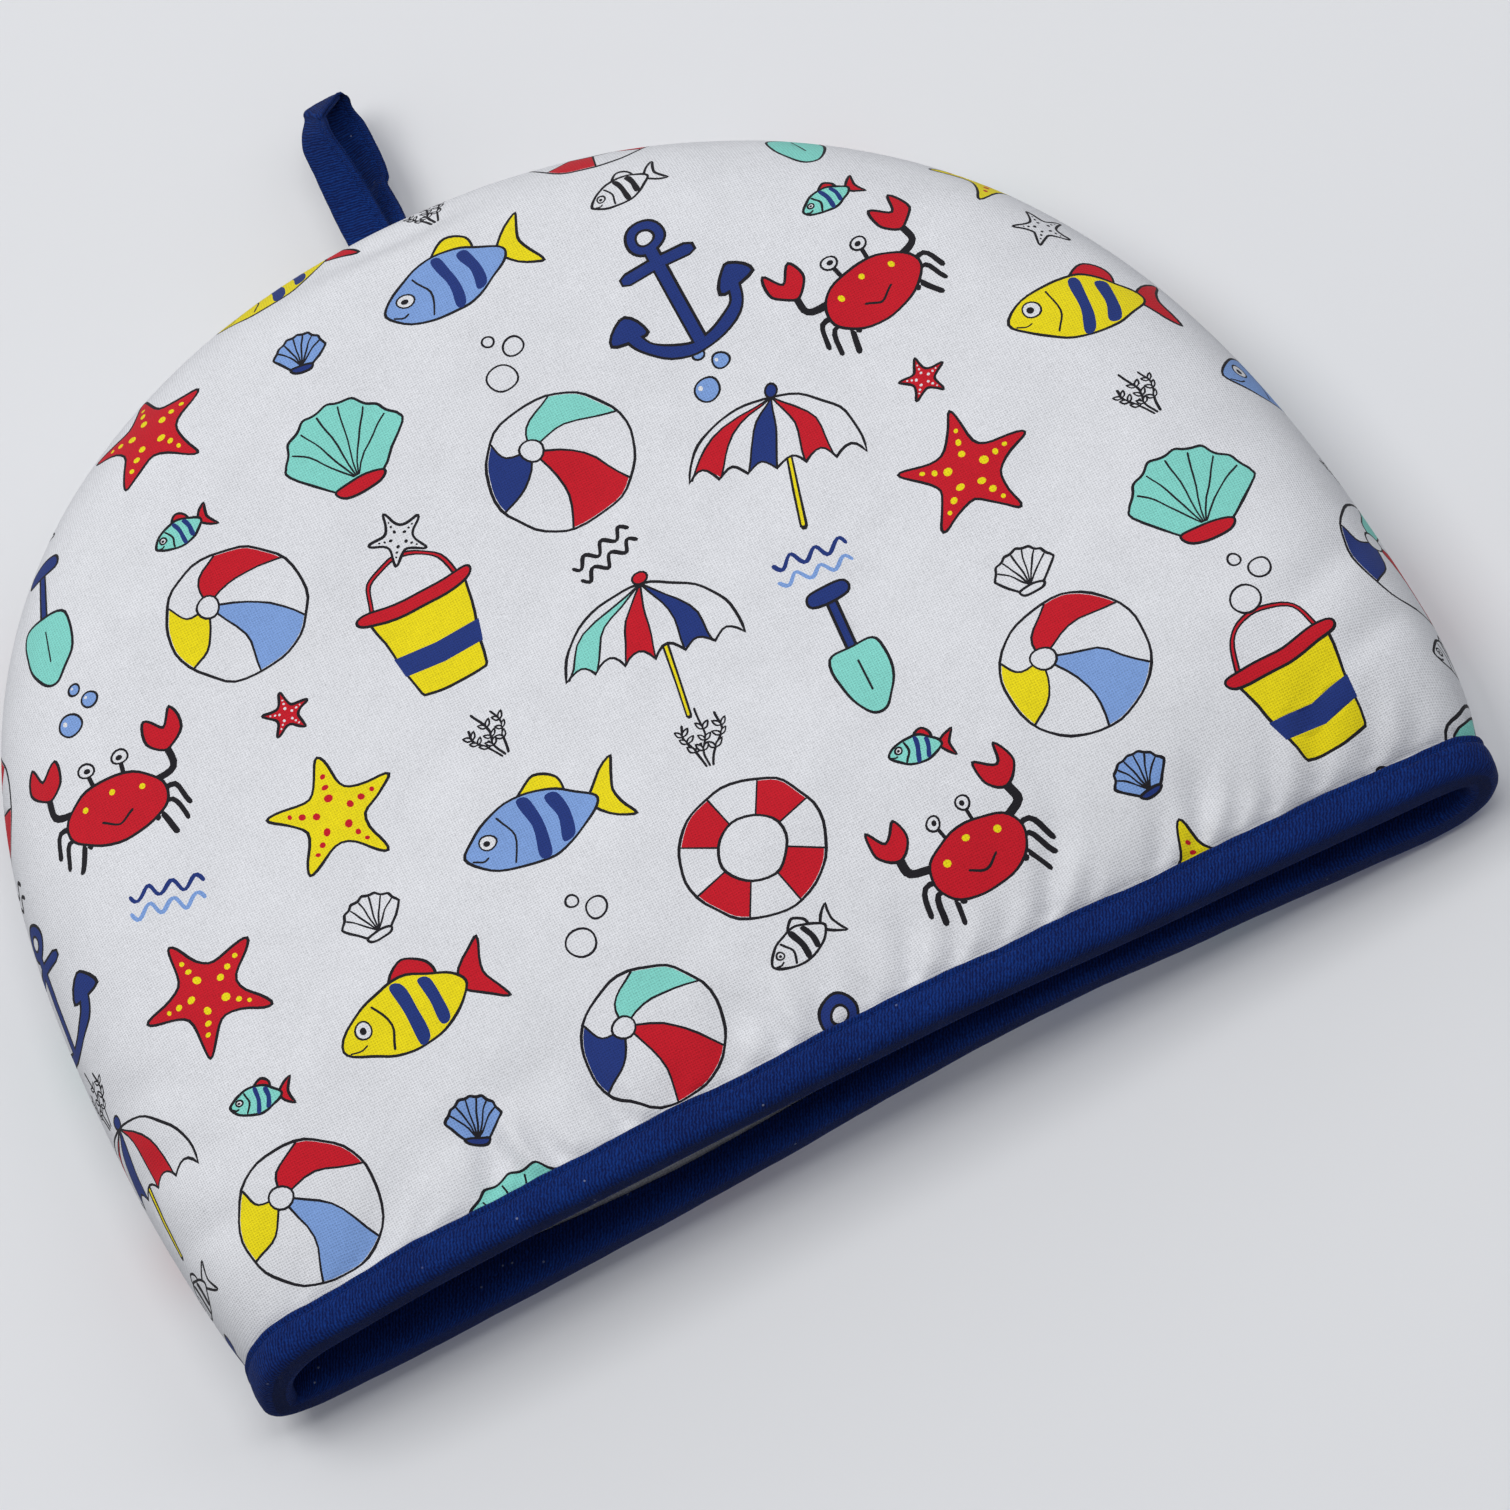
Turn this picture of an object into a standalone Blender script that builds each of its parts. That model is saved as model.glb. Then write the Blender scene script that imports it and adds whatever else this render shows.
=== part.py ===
"""Padded tea cosy, standing on its hem, with its front towards -Y and +Z up.

Two padded panels meet in a seam round the dome. A thin lining bag fills their inside, a folded
binding wraps the raw edges along the hem, and a folded strip makes the hanging loop at the top.
All lengths are in millimetres here, and become metres when the meshes are made. Every surface of
the cover is one function of the distance that it lies inside the panels' outer face, its inset.
"""

import math

import bmesh
import bpy
import numpy as np

METRES_PER_MM = 0.001

# The dome, seen from the front.
HEIGHT = 281.0              # table to the top of the seam
HALF_WIDTH = 176.5          # at its widest, just above the hem
SHOULDER_POWER = 3.35       # 2 is an ellipse, and more gives fuller shoulders
TOP_LEAN = -20.0            # the top lies this far to the left
LEAN_POWER = 1.7
HEM_HALF_WIDTH = 170.9      # of the panels where the binding draws them in
LEFT_SPREAD = 60.0          # height over which each side widens again
RIGHT_SPREAD = 34.0
SIDE_POWER = 1.6
FULLER_BY = 0.0085          # the right shoulder stands out by this share
FULLER_AT, FULLER_OVER = math.radians(130.0), math.radians(34.0)

# The depth, from the seam's plane to the outer faces.
SEAM_Y = 5.0
FRONT_DEPTH = 35.0
BACK_DEPTH = 14.0
TOP_THINNING = 4.0          # the front is this much less deep at the top
FRONT_EDGE = 50.0           # width of the rounded edge, in the body and at the hem
BACK_EDGE = 26.0
HEM_EDGE = 23.0
EDGE_POWER = 2.5
EDGE_RISE = 70.0            # height over which the hem's tight ends open out
EDGE_TIGHTER = 0.6          # an inner layer's rounded edge is narrower by this share of its inset
PUFF_RISE = 46.0            # height over which the padding swells above the binding
PUFF_POWER = 2.2

# The binding's outer faces along the hem: the cloth lies open at the left and flat at the right.
HEM_PLAN = (
    # x, front y, back y
    (-150.0, -21.0, 15.0),
    (-125.0, -24.0, 15.8),
    (-90.0, -24.6, 15.2),
    (-40.0, -23.4, 13.4),
    (0.0, -22.6, 9.4),
    (32.0, -21.2, 7.6),
    (56.0, -17.8, 7.8),
    (80.0, -14.8, 12.2),
    (104.0, -13.6, 14.2),
    (128.0, -10.8, 18.2),
    (155.0, -8.2, 22.4),
)
PLAN_SMOOTHING = 12.0
PLAN_SAMPLES = 9

# Layers, from the outside in.
GAP = 0.42
BINDING_CLEARANCE = 0.48
BODY_PADDING = 8.5
HEM_PADDING = 4.2
PADDING_FROM = 19.0         # the padding thickens from this height
PADDING_RISE = 30.0
LINING_THICK = 1.2
LAYER_FOOT = 2.3            # where the panels and the lining end, inside the binding
SKIRT_TOP = 12.5            # below this the outer walls are upright, under the binding

# The binding, a strip folded round the edges.
BINDING_THICK = 1.3
BINDING_WEB = 2.0
BINDING_OUTSIDE = 10.4
BINDING_INSIDE = 8.6
INSIDE_EXTRA = 6.0          # the fold inside is deeper towards the left end
DEEPER_FROM, DEEPER_OVER = -30.0, 120.0
BINDING_ROUND = 3.0
BINDING_LIP = 0.52          # the turned-in edges are rounded over this much

# Folds of the outer cloth. A positive depth is a dent and a negative one a soft ridge.
FOLD_RISE = 10.0            # they fade in over this height above the binding
FOLDS = (
    # x, z, half length, half width, turn in degrees, depth
    (-12.0, 259.0, 26.0, 4.5, -4.0, 3.2),
    (0.0, 78.0, 190.0, 24.0, 0.0, -1.8),
    (-10.0, 168.0, 150.0, 26.0, 4.0, 1.6),
    (68.0, 27.0, 9.0, 4.5, 72.0, 2.0),
    (-23.0, 25.0, 8.0, 4.5, 105.0, 1.8),
    (137.0, 26.0, 9.0, 4.5, 62.0, 2.2),
    (104.0, 24.0, 7.0, 4.0, 80.0, 1.5),
    (28.0, 23.0, 7.0, 4.0, 95.0, 1.4),
    (-95.0, 30.0, 22.0, 6.0, 12.0, 1.6),
    (160.0, 60.0, 17.0, 5.0, 28.0, 2.2),
    (163.0, 40.0, 15.0, 4.5, 22.0, 2.0),
    (-166.0, 84.0, 13.0, 5.0, -24.0, 2.0),
    (-168.0, 62.0, 13.0, 5.0, -14.0, 2.4),
    (-166.0, 40.0, 12.0, 4.5, -8.0, 1.8),
)

# The hanging loop, a flat strip folded in half and turned a little at its top.
LOOP_WIDTH = 12.2
LOOP_THICK = 1.9
LOOP_CORNER = 0.57          # its long edges are bevelled this much
LOOP_STEPS = 30
LOOP_ROUTE = (
    # x from the loop's middle, y from the seam, height above the foot, turn in degrees
    (-1.0, -1.4, 0.0, 0.0),
    (-1.0, -2.8, 11.0, -8.0),
    (-1.1, -5.4, 23.0, -24.0),
    (-1.8, -7.0, 34.5, -37.0),
    (1.4, -3.4, 43.2, -37.0),
    (4.4, 1.6, 45.8, -36.0),
    (6.3, 5.8, 39.4, -36.0),
    (5.7, 7.0, 28.4, -33.0),
    (4.0, 5.9, 16.2, -22.0),
    (2.2, 1.4, 0.0, 0.0),
)
LOOP_X = -14.6
LOOP_FOOT = 282.3           # height of both feet

# How finely the surfaces are divided.
EDGE_STEPS = 40             # along the dome's edge
HEM_CROWDING = 0.3          # steps near the hem are this much shorter than the mean
EDGE_INSETS = (0.0, 2.6, 7.0, 13.0, 19.5, 27.0, 41.0)
HEM_RISES = (0.0, 7.0, 16.0, 31.0, 54.0)
MIDDLE_STEPS = 3
SHORT_RAY = 110.0           # rays shorter than this have their steps scaled down
SPINE_HALF = 106.0          # the rays start this far along the hem, either way
OUTLINE_SAMPLES = 480

# The middle of the whole part's box, which becomes the origin.
BOX_MIDDLE = (-1.1, -4.81, 0.0)

COLOURS = {
    # node: linear colour, roughness
    "front_panel": ((0.68, 0.70, 0.76), 0.9),
    "back_panel": ((0.68, 0.70, 0.76), 0.9),
    "lining": ((0.62, 0.63, 0.66), 0.92),
    "hem_binding": ((0.005, 0.020, 0.190), 0.85),
    "hanging_loop": ((0.005, 0.020, 0.175), 0.85),
}


def clear_scene():
    for obj in list(bpy.data.objects):
        bpy.data.objects.remove(obj, do_unlink=True)


def rounded(share, power):
    """A quarter of a superellipse: steep at 0, level at 1."""
    share = np.clip(share, 0.0, 1.0)
    return (1.0 - (1.0 - share) ** power) ** (1.0 / power)


def eased(share):
    share = np.clip(share, 0.0, 1.0)
    return share * share * (3.0 - 2.0 * share)


def hem_plan(x, column):
    """One column of the hem's plan at x, smoothed."""
    rows = np.array(HEM_PLAN)
    shifts = np.linspace(-PLAN_SMOOTHING, PLAN_SMOOTHING, PLAN_SAMPLES)
    return sum(np.interp(x + shift, rows[:, 0], rows[:, column]) for shift in shifts) / PLAN_SAMPLES


def padding(z):
    """The panels' thickness at this height."""
    return HEM_PADDING + (BODY_PADDING - HEM_PADDING) * eased((z - PADDING_FROM) / PADDING_RISE)


def cover_layer(base_inset, padded):
    """The inset of a surface: constant, or one that follows the padding's inner face."""
    if padded:
        return lambda z: base_inset + padding(z)
    return lambda z: base_inset + 0.0 * z


OUTER_FACE = cover_layer(0.0, False)
PADDING_INNER = cover_layer(0.0, True)
LINING_OUTER = cover_layer(GAP, True)
LINING_INNER = cover_layer(GAP + LINING_THICK, True)


def skirt_top(layer):
    """Where a layer's upright skirt ends: an inner layer swells out over the one outside it."""
    return SKIRT_TOP + layer(0.0)


def dome_edge(angle, layer):
    """A layer's edge from its left end at angle 0 to its right end at pi."""
    foot = skirt_top(layer)
    arch = np.clip(np.sin(angle), 0.0, 1.0) ** (2.0 / SHOULDER_POWER)
    inset = layer(foot + (HEIGHT - foot) * arch)
    fuller = 1.0 + FULLER_BY * np.exp(-(((angle - FULLER_AT) / FULLER_OVER) ** 2))
    z = foot + (HEIGHT - foot - inset) * arch * fuller
    spread = np.where(np.cos(angle) > 0.0, LEFT_SPREAD, RIGHT_SPREAD)
    drawn_in = (HALF_WIDTH - HEM_HALF_WIDTH) * (1.0 - rounded((z - foot) / spread, SIDE_POWER))
    x = -np.cos(angle) * (HALF_WIDTH - drawn_in - inset) * fuller
    return x + TOP_LEAN * ((z / HEIGHT) ** LEAN_POWER - (foot / HEIGHT) ** LEAN_POWER), z


def edge_angles(count, crowding):
    """Angles that divide the dome's edge into lengths which grow a little towards the top."""
    fine = 0.5 * math.pi * (1.0 - np.cos(np.linspace(0.0, math.pi, OUTLINE_SAMPLES)))
    x, z = dome_edge(fine, OUTER_FACE)
    run = np.concatenate([[0.0], np.cumsum(np.hypot(np.diff(x), np.diff(z)))])
    share = np.linspace(0.0, 1.0, count)
    share = share - crowding * np.sin(2.0 * math.pi * share) / (2.0 * math.pi)
    return np.interp(share * run[-1], run, fine)


def ray_steps(length):
    """Distances from the dome's edge along one ray, close together at both of its ends."""
    scale = min(1.0, length / SHORT_RAY)
    outer = [inset * scale for inset in EDGE_INSETS]
    lower = [length - rise * scale for rise in reversed(HEM_RISES)]
    middle = np.linspace(outer[-1], lower[0], MIDDLE_STEPS + 2)[1:-1]
    return np.array(outer + list(middle) + lower)


def distance_to(x, z, edge_x, edge_z):
    """The distance from each point to a line through the edge's points."""
    ax, az, bx, bz = edge_x[:-1], edge_z[:-1], edge_x[1:], edge_z[1:]
    dx, dz = bx - ax, bz - az
    along = ((x[..., None] - ax) * dx + (z[..., None] - az) * dz) / (dx * dx + dz * dz)
    along = np.clip(along, 0.0, 1.0)
    return np.hypot(x[..., None] - ax - along * dx, z[..., None] - az - along * dz).min(axis=-1)


def fold_depth(x, z):
    total = np.zeros_like(x)
    for fold_x, fold_z, length, width, turn, depth in FOLDS:
        c, s = math.cos(math.radians(turn)), math.sin(math.radians(turn))
        along = (x - fold_x) * c + (z - fold_z) * s
        across = (z - fold_z) * c - (x - fold_x) * s
        total += depth * np.exp(-((along / length) ** 2) - (across / width) ** 2)
    return total


def surface(side, layer, folded=False):
    """Points of one side's surface, from the dome's edge (second index 0) down to the hem.

    side is -1 at the front and 1 at the back, and layer gives the inset at each height. Only the
    front's outer cloth is folded: the padding takes up the folds.
    """
    foot = skirt_top(layer)
    edge_x, edge_z = dome_edge(edge_angles(EDGE_STEPS + 1, HEM_CROWDING), layer)
    fine_x, fine_z = dome_edge(edge_angles(OUTLINE_SAMPLES, 0.0), layer)

    spine_x = np.linspace(-SPINE_HALF, SPINE_HALF, EDGE_STEPS + 1)
    rays = []
    for ex, ez, sx in zip(edge_x, edge_z, spine_x):
        length = math.hypot(ex - sx, ez - foot)
        share = ray_steps(length) / length
        rays.append(np.stack([ex + (sx - ex) * share, ez + (foot - ez) * share], axis=-1))
    x, z = np.moveaxis(np.array(rays), -1, 0)

    inset = layer(z)
    above = z - foot
    body_depth, body_edge = (FRONT_DEPTH, FRONT_EDGE) if side < 0 else (BACK_DEPTH, BACK_EDGE)
    if side < 0:
        body_depth = body_depth - TOP_THINNING * (z / HEIGHT) ** 2
    hem_face = hem_plan(x, 1 if side < 0 else 2)
    hem_depth = side * (hem_face - SEAM_Y) - GAP - BINDING_THICK
    depth = hem_depth + (body_depth - hem_depth) * rounded(above / PUFF_RISE, PUFF_POWER)
    edge = HEM_EDGE + (body_edge - HEM_EDGE) * eased(above / EDGE_RISE)

    distance = distance_to(x, z, fine_x, fine_z)
    distance[:, 0] = 0.0
    share = rounded(distance / (edge - EDGE_TIGHTER * inset), EDGE_POWER)
    y = SEAM_Y + side * (depth - inset) * share
    if folded:
        y = y + fold_depth(x, z) * share * eased(above / FOLD_RISE)
    return np.stack([x, y, z], axis=-1)


def hem_line(grid):
    """The lower edge of one side, from the left seam to the right seam."""
    return np.concatenate([grid[0], grid[1:-1, -1], grid[-1, ::-1]])


def all_round(front, back):
    """Both hem lines as one ring: the front from left to right, then the back."""
    return np.concatenate([front, back[-2:0:-1]])


def ring_points(layer):
    return all_round(hem_line(surface(-1, layer)), hem_line(surface(1, layer)))


def mesh_object(name, points, faces):
    """One closed body from points in millimetres, with its own material."""
    mesh = bpy.data.meshes.new(name)
    shaped = bmesh.new()
    verts = [shaped.verts.new((point - BOX_MIDDLE) * METRES_PER_MM) for point in points]
    for face in faces:
        shaped.faces.new([verts[index] for index in face])
    bmesh.ops.recalc_face_normals(shaped, faces=shaped.faces)
    shaped.to_mesh(mesh)
    shaped.free()
    mesh.shade_smooth()
    mesh.set_sharp_from_angle(angle=math.radians(50.0))
    colour, roughness = COLOURS[name]
    material = bpy.data.materials.new(name)
    material.use_nodes = True
    principled = material.node_tree.nodes["Principled BSDF"]
    principled.inputs["Base Color"].default_value = (*colour, 1.0)
    principled.inputs["Roughness"].default_value = roughness
    principled.inputs["Metallic"].default_value = 0.0
    mesh.materials.append(material)
    obj = bpy.data.objects.new(name, mesh)
    bpy.context.scene.collection.objects.link(obj)
    return obj


class Shell:
    """Collects points and the faces between rows of them."""

    def __init__(self):
        self.points = []
        self.faces = []

    def add(self, points):
        start = len(self.points)
        shape = np.asarray(points).shape[:-1]
        self.points.extend(np.asarray(points).reshape(-1, 3))
        return np.arange(start, len(self.points)).reshape(shape)

    def grid(self, index):
        for upper, lower in zip(index[:-1], index[1:]):
            self.band(upper, lower)

    def band(self, first, second):
        for a, b, c, d in zip(first[:-1], first[1:], second[1:], second[:-1]):
            self.faces.extend([(a, b, c), (a, c, d)])

    def ring(self, first, second):
        self.band(np.append(first, first[0]), np.append(second, second[0]))


def dropped(line, z):
    """The same line at another height."""
    low = np.array(line)
    low[:, 2] = z
    return low


def make_panel(name, side):
    """One padded panel: outer and inner faces, joined round the dome's seam and along the hem."""
    shell = Shell()
    outer_points = surface(side, OUTER_FACE, folded=side < 0)
    inner_points = surface(side, PADDING_INNER)
    for points in (outer_points, inner_points):
        points[:, 0, 1] = SEAM_Y + side * 0.5 * GAP
    outer, inner = shell.add(outer_points), shell.add(inner_points)
    shell.grid(outer)
    shell.grid(inner)
    outer_foot = shell.add(dropped(hem_line(outer_points), LAYER_FOOT))
    inner_foot = shell.add(dropped(hem_line(inner_points), LAYER_FOOT))
    shell.band(hem_line(outer), outer_foot)
    shell.band(hem_line(inner), inner_foot)
    shell.band(outer_foot, inner_foot)
    shell.band(outer[:, 0], inner[:, 0])
    for end in (0, -1):
        shell.faces.append((outer[end, 0], inner[end, 0], inner_foot[end], outer_foot[end]))
    return mesh_object(name, shell.points, shell.faces)


def make_lining():
    """A thin bag, its front and back in one piece across the seam's line."""
    shell = Shell()
    feet = []
    for layer in (LINING_OUTER, LINING_INNER):
        front_points, back_points = surface(-1, layer), surface(1, layer)
        front = shell.add(front_points)
        back = np.concatenate([front[:, :1], shell.add(back_points[:, 1:])], axis=1)
        shell.grid(front)
        shell.grid(back)
        foot = shell.add(dropped(all_round(hem_line(front_points), hem_line(back_points)), LAYER_FOOT))
        shell.ring(all_round(hem_line(front), hem_line(back)), foot)
        feet.append(foot)
    shell.ring(*feet)
    return mesh_object("lining", shell.points, shell.faces)


def make_binding():
    """The strip that wraps the raw edges: a closed ring with a U for its section, open upwards."""
    inside = HEM_PADDING + GAP + LINING_THICK + BINDING_CLEARANCE
    faces_at = {
        inset: ring_points(cover_layer(inset, False))
        for inset in (-GAP - BINDING_THICK, -GAP, inside, inside + BINDING_THICK)
    }
    outer_face, outer_back, inner_back, inner_face = faces_at.values()
    across = inner_face - outer_face
    across /= np.linalg.norm(across, axis=1)[:, None]
    deeper = BINDING_INSIDE + INSIDE_EXTRA * eased((DEEPER_FROM - outer_face[:, 0]) / DEEPER_OVER)
    lip = BINDING_LIP
    half_round = BINDING_ROUND * (1.0 - math.sqrt(0.5))
    section = (
        # line, step across from it, height
        (outer_face, 0.0, BINDING_ROUND),
        (outer_face, 0.0, BINDING_OUTSIDE - lip),
        (outer_face, lip, BINDING_OUTSIDE),
        (outer_back, 0.0, BINDING_OUTSIDE - 0.5 * lip),
        (outer_back, 0.0, BINDING_WEB),
        (inner_back, 0.0, BINDING_WEB),
        (inner_back, 0.0, deeper - 0.5 * lip),
        (inner_face, -lip, deeper),
        (inner_face, 0.0, deeper - lip),
        (inner_face, 0.0, BINDING_ROUND),
        (inner_face, -half_round, half_round),
        (inner_face, -BINDING_ROUND, 0.0),
        (outer_face, BINDING_ROUND, 0.0),
        (outer_face, half_round, half_round),
    )
    shell = Shell()
    rows = []
    for line, step, height in section:
        row = line + across * step
        row[:, 2] = height
        rows.append(shell.add(row))
    for first, second in zip(rows, rows[1:] + rows[:1]):
        shell.ring(first, second)
    return mesh_object("hem_binding", shell.points, shell.faces)


def through(rows, count):
    """Points on a smooth curve through the rows, evenly spaced from row to row."""
    rows = np.array(rows)
    slopes = np.gradient(rows, axis=0)
    place = np.linspace(0.0, len(rows) - 1.0, count)
    index = np.minimum(place.astype(int), len(rows) - 2)
    t = (place - index)[:, None]
    return (
        rows[index] * (2.0 * t ** 3 - 3.0 * t ** 2 + 1.0)
        + slopes[index] * (t ** 3 - 2.0 * t ** 2 + t)
        + rows[index + 1] * (3.0 * t ** 2 - 2.0 * t ** 3)
        + slopes[index + 1] * (t ** 3 - t ** 2)
    )


def make_loop():
    """The folded strip, from its front foot on the seam over its top to its back foot."""
    route = through(LOOP_ROUTE, LOOP_STEPS)
    path = route[:, :3] + (LOOP_X, SEAM_Y, LOOP_FOOT)
    turn = np.radians(route[:, 3])
    along = np.gradient(path, axis=0)
    along[0] = along[-1] = (0.0, 0.0, 1.0)
    along[-1] *= -1.0
    wide = np.stack([np.cos(turn), np.sin(turn), 0.0 * turn], axis=-1)
    thick = np.cross(along, wide)
    thick /= np.linalg.norm(thick, axis=1)[:, None]
    half_width, half_thick, corner = 0.5 * LOOP_WIDTH, 0.5 * LOOP_THICK, LOOP_CORNER
    section = [
        (sx * (half_width - (corner if first else 0.0)), sy * (half_thick - (0.0 if first else corner)))
        for sx, sy, order in ((1, 1, (0, 1)), (-1, 1, (1, 0)), (-1, -1, (0, 1)), (1, -1, (1, 0)))
        for first in order
    ]
    shell = Shell()
    rows = [
        shell.add([centre + w * a + t * b for a, b in section])
        for centre, w, t in zip(path, wide, thick)
    ]
    for first, second in zip(rows[:-1], rows[1:]):
        shell.ring(first, second)
    shell.faces.append(tuple(rows[0]))
    shell.faces.append(tuple(rows[-1]))
    return mesh_object("hanging_loop", shell.points, shell.faces)


def main():
    clear_scene()
    make_panel("front_panel", -1)
    make_panel("back_panel", 1)
    make_lining()
    make_binding()
    make_loop()


main()
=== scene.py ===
"""Padded tea cosy of printed cotton, with a dark blue binding and a hanging loop.

The cloth is laid out flat, printed there, and then wrapped over the padded shape. Lengths are in
millimetres until a mesh is made. The cover stands on its hem, with its front towards -Y, and a
side of -1 is the front and 1 the back.
"""

import math

import bmesh
import bpy
import numpy as np
from mathutils import Matrix, Vector
from mathutils.geometry import delaunay_2d_cdt


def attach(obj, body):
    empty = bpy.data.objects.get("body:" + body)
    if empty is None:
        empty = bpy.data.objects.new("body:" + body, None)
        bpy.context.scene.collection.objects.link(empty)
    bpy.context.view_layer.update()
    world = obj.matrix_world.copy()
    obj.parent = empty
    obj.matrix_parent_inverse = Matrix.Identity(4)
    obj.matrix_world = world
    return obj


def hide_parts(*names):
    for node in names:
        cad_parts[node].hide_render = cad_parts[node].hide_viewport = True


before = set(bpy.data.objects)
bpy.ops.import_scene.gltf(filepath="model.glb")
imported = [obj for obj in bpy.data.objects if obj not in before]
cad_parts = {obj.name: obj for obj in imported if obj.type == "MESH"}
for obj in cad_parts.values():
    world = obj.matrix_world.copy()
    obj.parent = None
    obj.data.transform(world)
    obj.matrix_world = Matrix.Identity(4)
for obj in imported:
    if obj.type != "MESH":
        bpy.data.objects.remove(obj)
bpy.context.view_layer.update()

METRES_PER_MM = 0.001
BOX_MIDDLE = (-1.1, -4.81, 0)

# ---------------------------------------------------------------- the cover's shape

HEIGHT, HALF_WIDTH, SHOULDER_POWER = 281, 176.5, 3.35
TOP_LEAN, LEAN_POWER = -20, 1.7
HEM_HALF_WIDTH, LEFT_SPREAD, RIGHT_SPREAD, SIDE_POWER = 170.9, 60, 34, 1.6
FULLER_BY, FULLER_AT, FULLER_OVER = 0.0085, math.radians(130), math.radians(34)
SEAM_Y, SEAM_HALF_GAP = 5, 0.06
FRONT_DEPTH, BACK_DEPTH, TOP_THINNING = 35, 14, 4
FRONT_EDGE, BACK_EDGE, HEM_EDGE = 50, 26, 23
EDGE_POWER, EDGE_RISE, EDGE_TIGHTER = 2.5, 70, 0.6
PUFF_RISE, PUFF_POWER = 50, 1.5
HEM_PLAN = (
    # x, front y, back y
    (-150, -21, 15),
    (-125, -24, 15.8),
    (-90, -24.6, 15.2),
    (-40, -23.4, 13.4),
    (0, -22.6, 9.4),
    (32, -21.2, 7.6),
    (56, -17.8, 7.8),
    (80, -14.8, 12.2),
    (104, -13.6, 14.2),
    (128, -10.8, 18.2),
    (155, -8.2, 22.4),
)
PLAN_SMOOTHING, PLAN_SAMPLES = 12, 9
GAP = 0.42                  # between one layer and the next
BINDING_OUT = 1.3           # the binding's own thickness outside the cloth
BODY_PADDING, HEM_PADDING = 8.5, 4.2
PADDING_FROM, PADDING_RISE = 19, 30
LINING_THICK, LINING_FOOT, SKIRT_TOP = 1.2, 2.3, 12.5
EDGE_SAMPLES = 480
DOME_RUN, HEM_RUN = 900, 360    # about how long the cloth's outline is, over the dome and the hem
BELOW_HEM = -60
CLOTH_FOOT = 7.6            # the printed cloth ends here, behind the binding
SIDES_FROM = 16.5           # below this its sides run in smoothly under the binding
PUFF_FROM = 10.9            # and from this height it swells out over the binding
AT_ONCE = 2000              # points handled together, to keep the arrays small

# Folds of the front. A positive depth is a dent and a negative one a ridge.
FOLD_RISE = 10
FOLDS = (
    # x, z, half length, half width, turn in degrees, depth
    (-12, 271, 24, 5, -3, 5),
    (-12, 262, 28, 4, -4, -1.4),
    (0, 78, 190, 24, 0, -1.8),
    (-10, 168, 150, 26, 4, 1.6),
    (68, 27, 9, 4.5, 72, 2),
    (-23, 25, 8, 4.5, 105, 1.8),
    (137, 26, 9, 4.5, 62, 2.2),
    (104, 24, 7, 4, 80, 1.5),
    (28, 23, 7, 4, 95, 1.4),
    (-95, 30, 22, 6, 12, 1.6),
    (160, 60, 17, 5, 28, 2.2),
    (163, 40, 15, 4.5, 22, 2),
    (-166, 84, 13, 5, -24, 2),
    (-168, 62, 13, 5, -14, 2.4),
    (-166, 40, 12, 4.5, -8, 1.8),
)

# Small gathers where the binding draws the front in.
GATHER_FROM, GATHER_RISE = PUFF_FROM - 0.6, 3.5
GATHERS = (
    # x at the binding, height, half width, lean in degrees, depth
    (-152, 12, 3.4, 62, 0.9),
    (-134, 28, 4.6, 36, 2.6),
    (-118, 15, 3, 46, 1.4),
    (-97, 24, 3.2, 72, 2.2),
    (-88, 29, 2.8, 104, 2.4),
    (-77, 18, 2.6, 112, 1.8),
    (-59, 27, 3, 100, 2.3),
    (-45, 12, 2.6, 84, 0.9),
    (-30, 13, 2.8, 76, 1),
    (-16, 20, 2.6, 90, 1.8),
    (-5, 14, 2.4, 80, 1.1),
    (8, 11, 2.2, 94, 0.9),
    (19, 25, 2.8, 72, 2.2),
    (31, 19, 2.4, 66, 1.7),
    (44, 14, 2.4, 62, 1.1),
    (56, 28, 2.8, 60, 2.4),
    (68, 13, 2.2, 66, 0.9),
    (86, 20, 2.6, 58, 1.6),
    (97, 26, 2.8, 60, 1.9),
    (107, 17, 2.4, 56, 1.3),
    (117, 25, 2.8, 62, 1.8),
    (130, 15, 2.6, 62, 1.2),
    (145, 24, 3, 60, 1.7),
    (157, 15, 2.8, 66, 1.2),
)

# Slow unevenness of padded cloth.
SWELLS = (
    # wavelength across the cover, wavelength up it, phase, depth
    (83, 210, 0.4, 0.35),
    (47, -95, 1.9, 0.22),
    (-61, 44, 4.1, 0.20),
    (29, 71, 2.7, 0.10),
    (-33, 26, 5.3, 0.08),
)


def rounded(share, power):
    """A quarter of a superellipse: steep at 0, level at 1."""
    return (1 - (1 - np.clip(share, 0, 1)) ** power) ** (1 / power)


def eased(share):
    share = np.clip(share, 0, 1)
    return share * share * (3 - 2 * share)


def travelled(points):
    """How far along a line each of its points lies."""
    return np.concatenate([[0], np.cumsum(np.linalg.norm(np.diff(points, axis=0), axis=1))])


def lengths(vectors):
    return np.linalg.norm(vectors, axis=1)[:, None]


def cos_sin(degrees):
    return math.cos(math.radians(degrees)), math.sin(math.radians(degrees))


def turned(x, z, degrees):
    """How far a place lies along a turned line, and how far beside it."""
    c, s = cos_sin(degrees)
    return x * c + z * s, z * c - x * s


def padding(z):
    """How thick the padding is at a height."""
    return HEM_PADDING + (BODY_PADDING - HEM_PADDING) * eased((z - PADDING_FROM) / PADDING_RISE)


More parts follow.
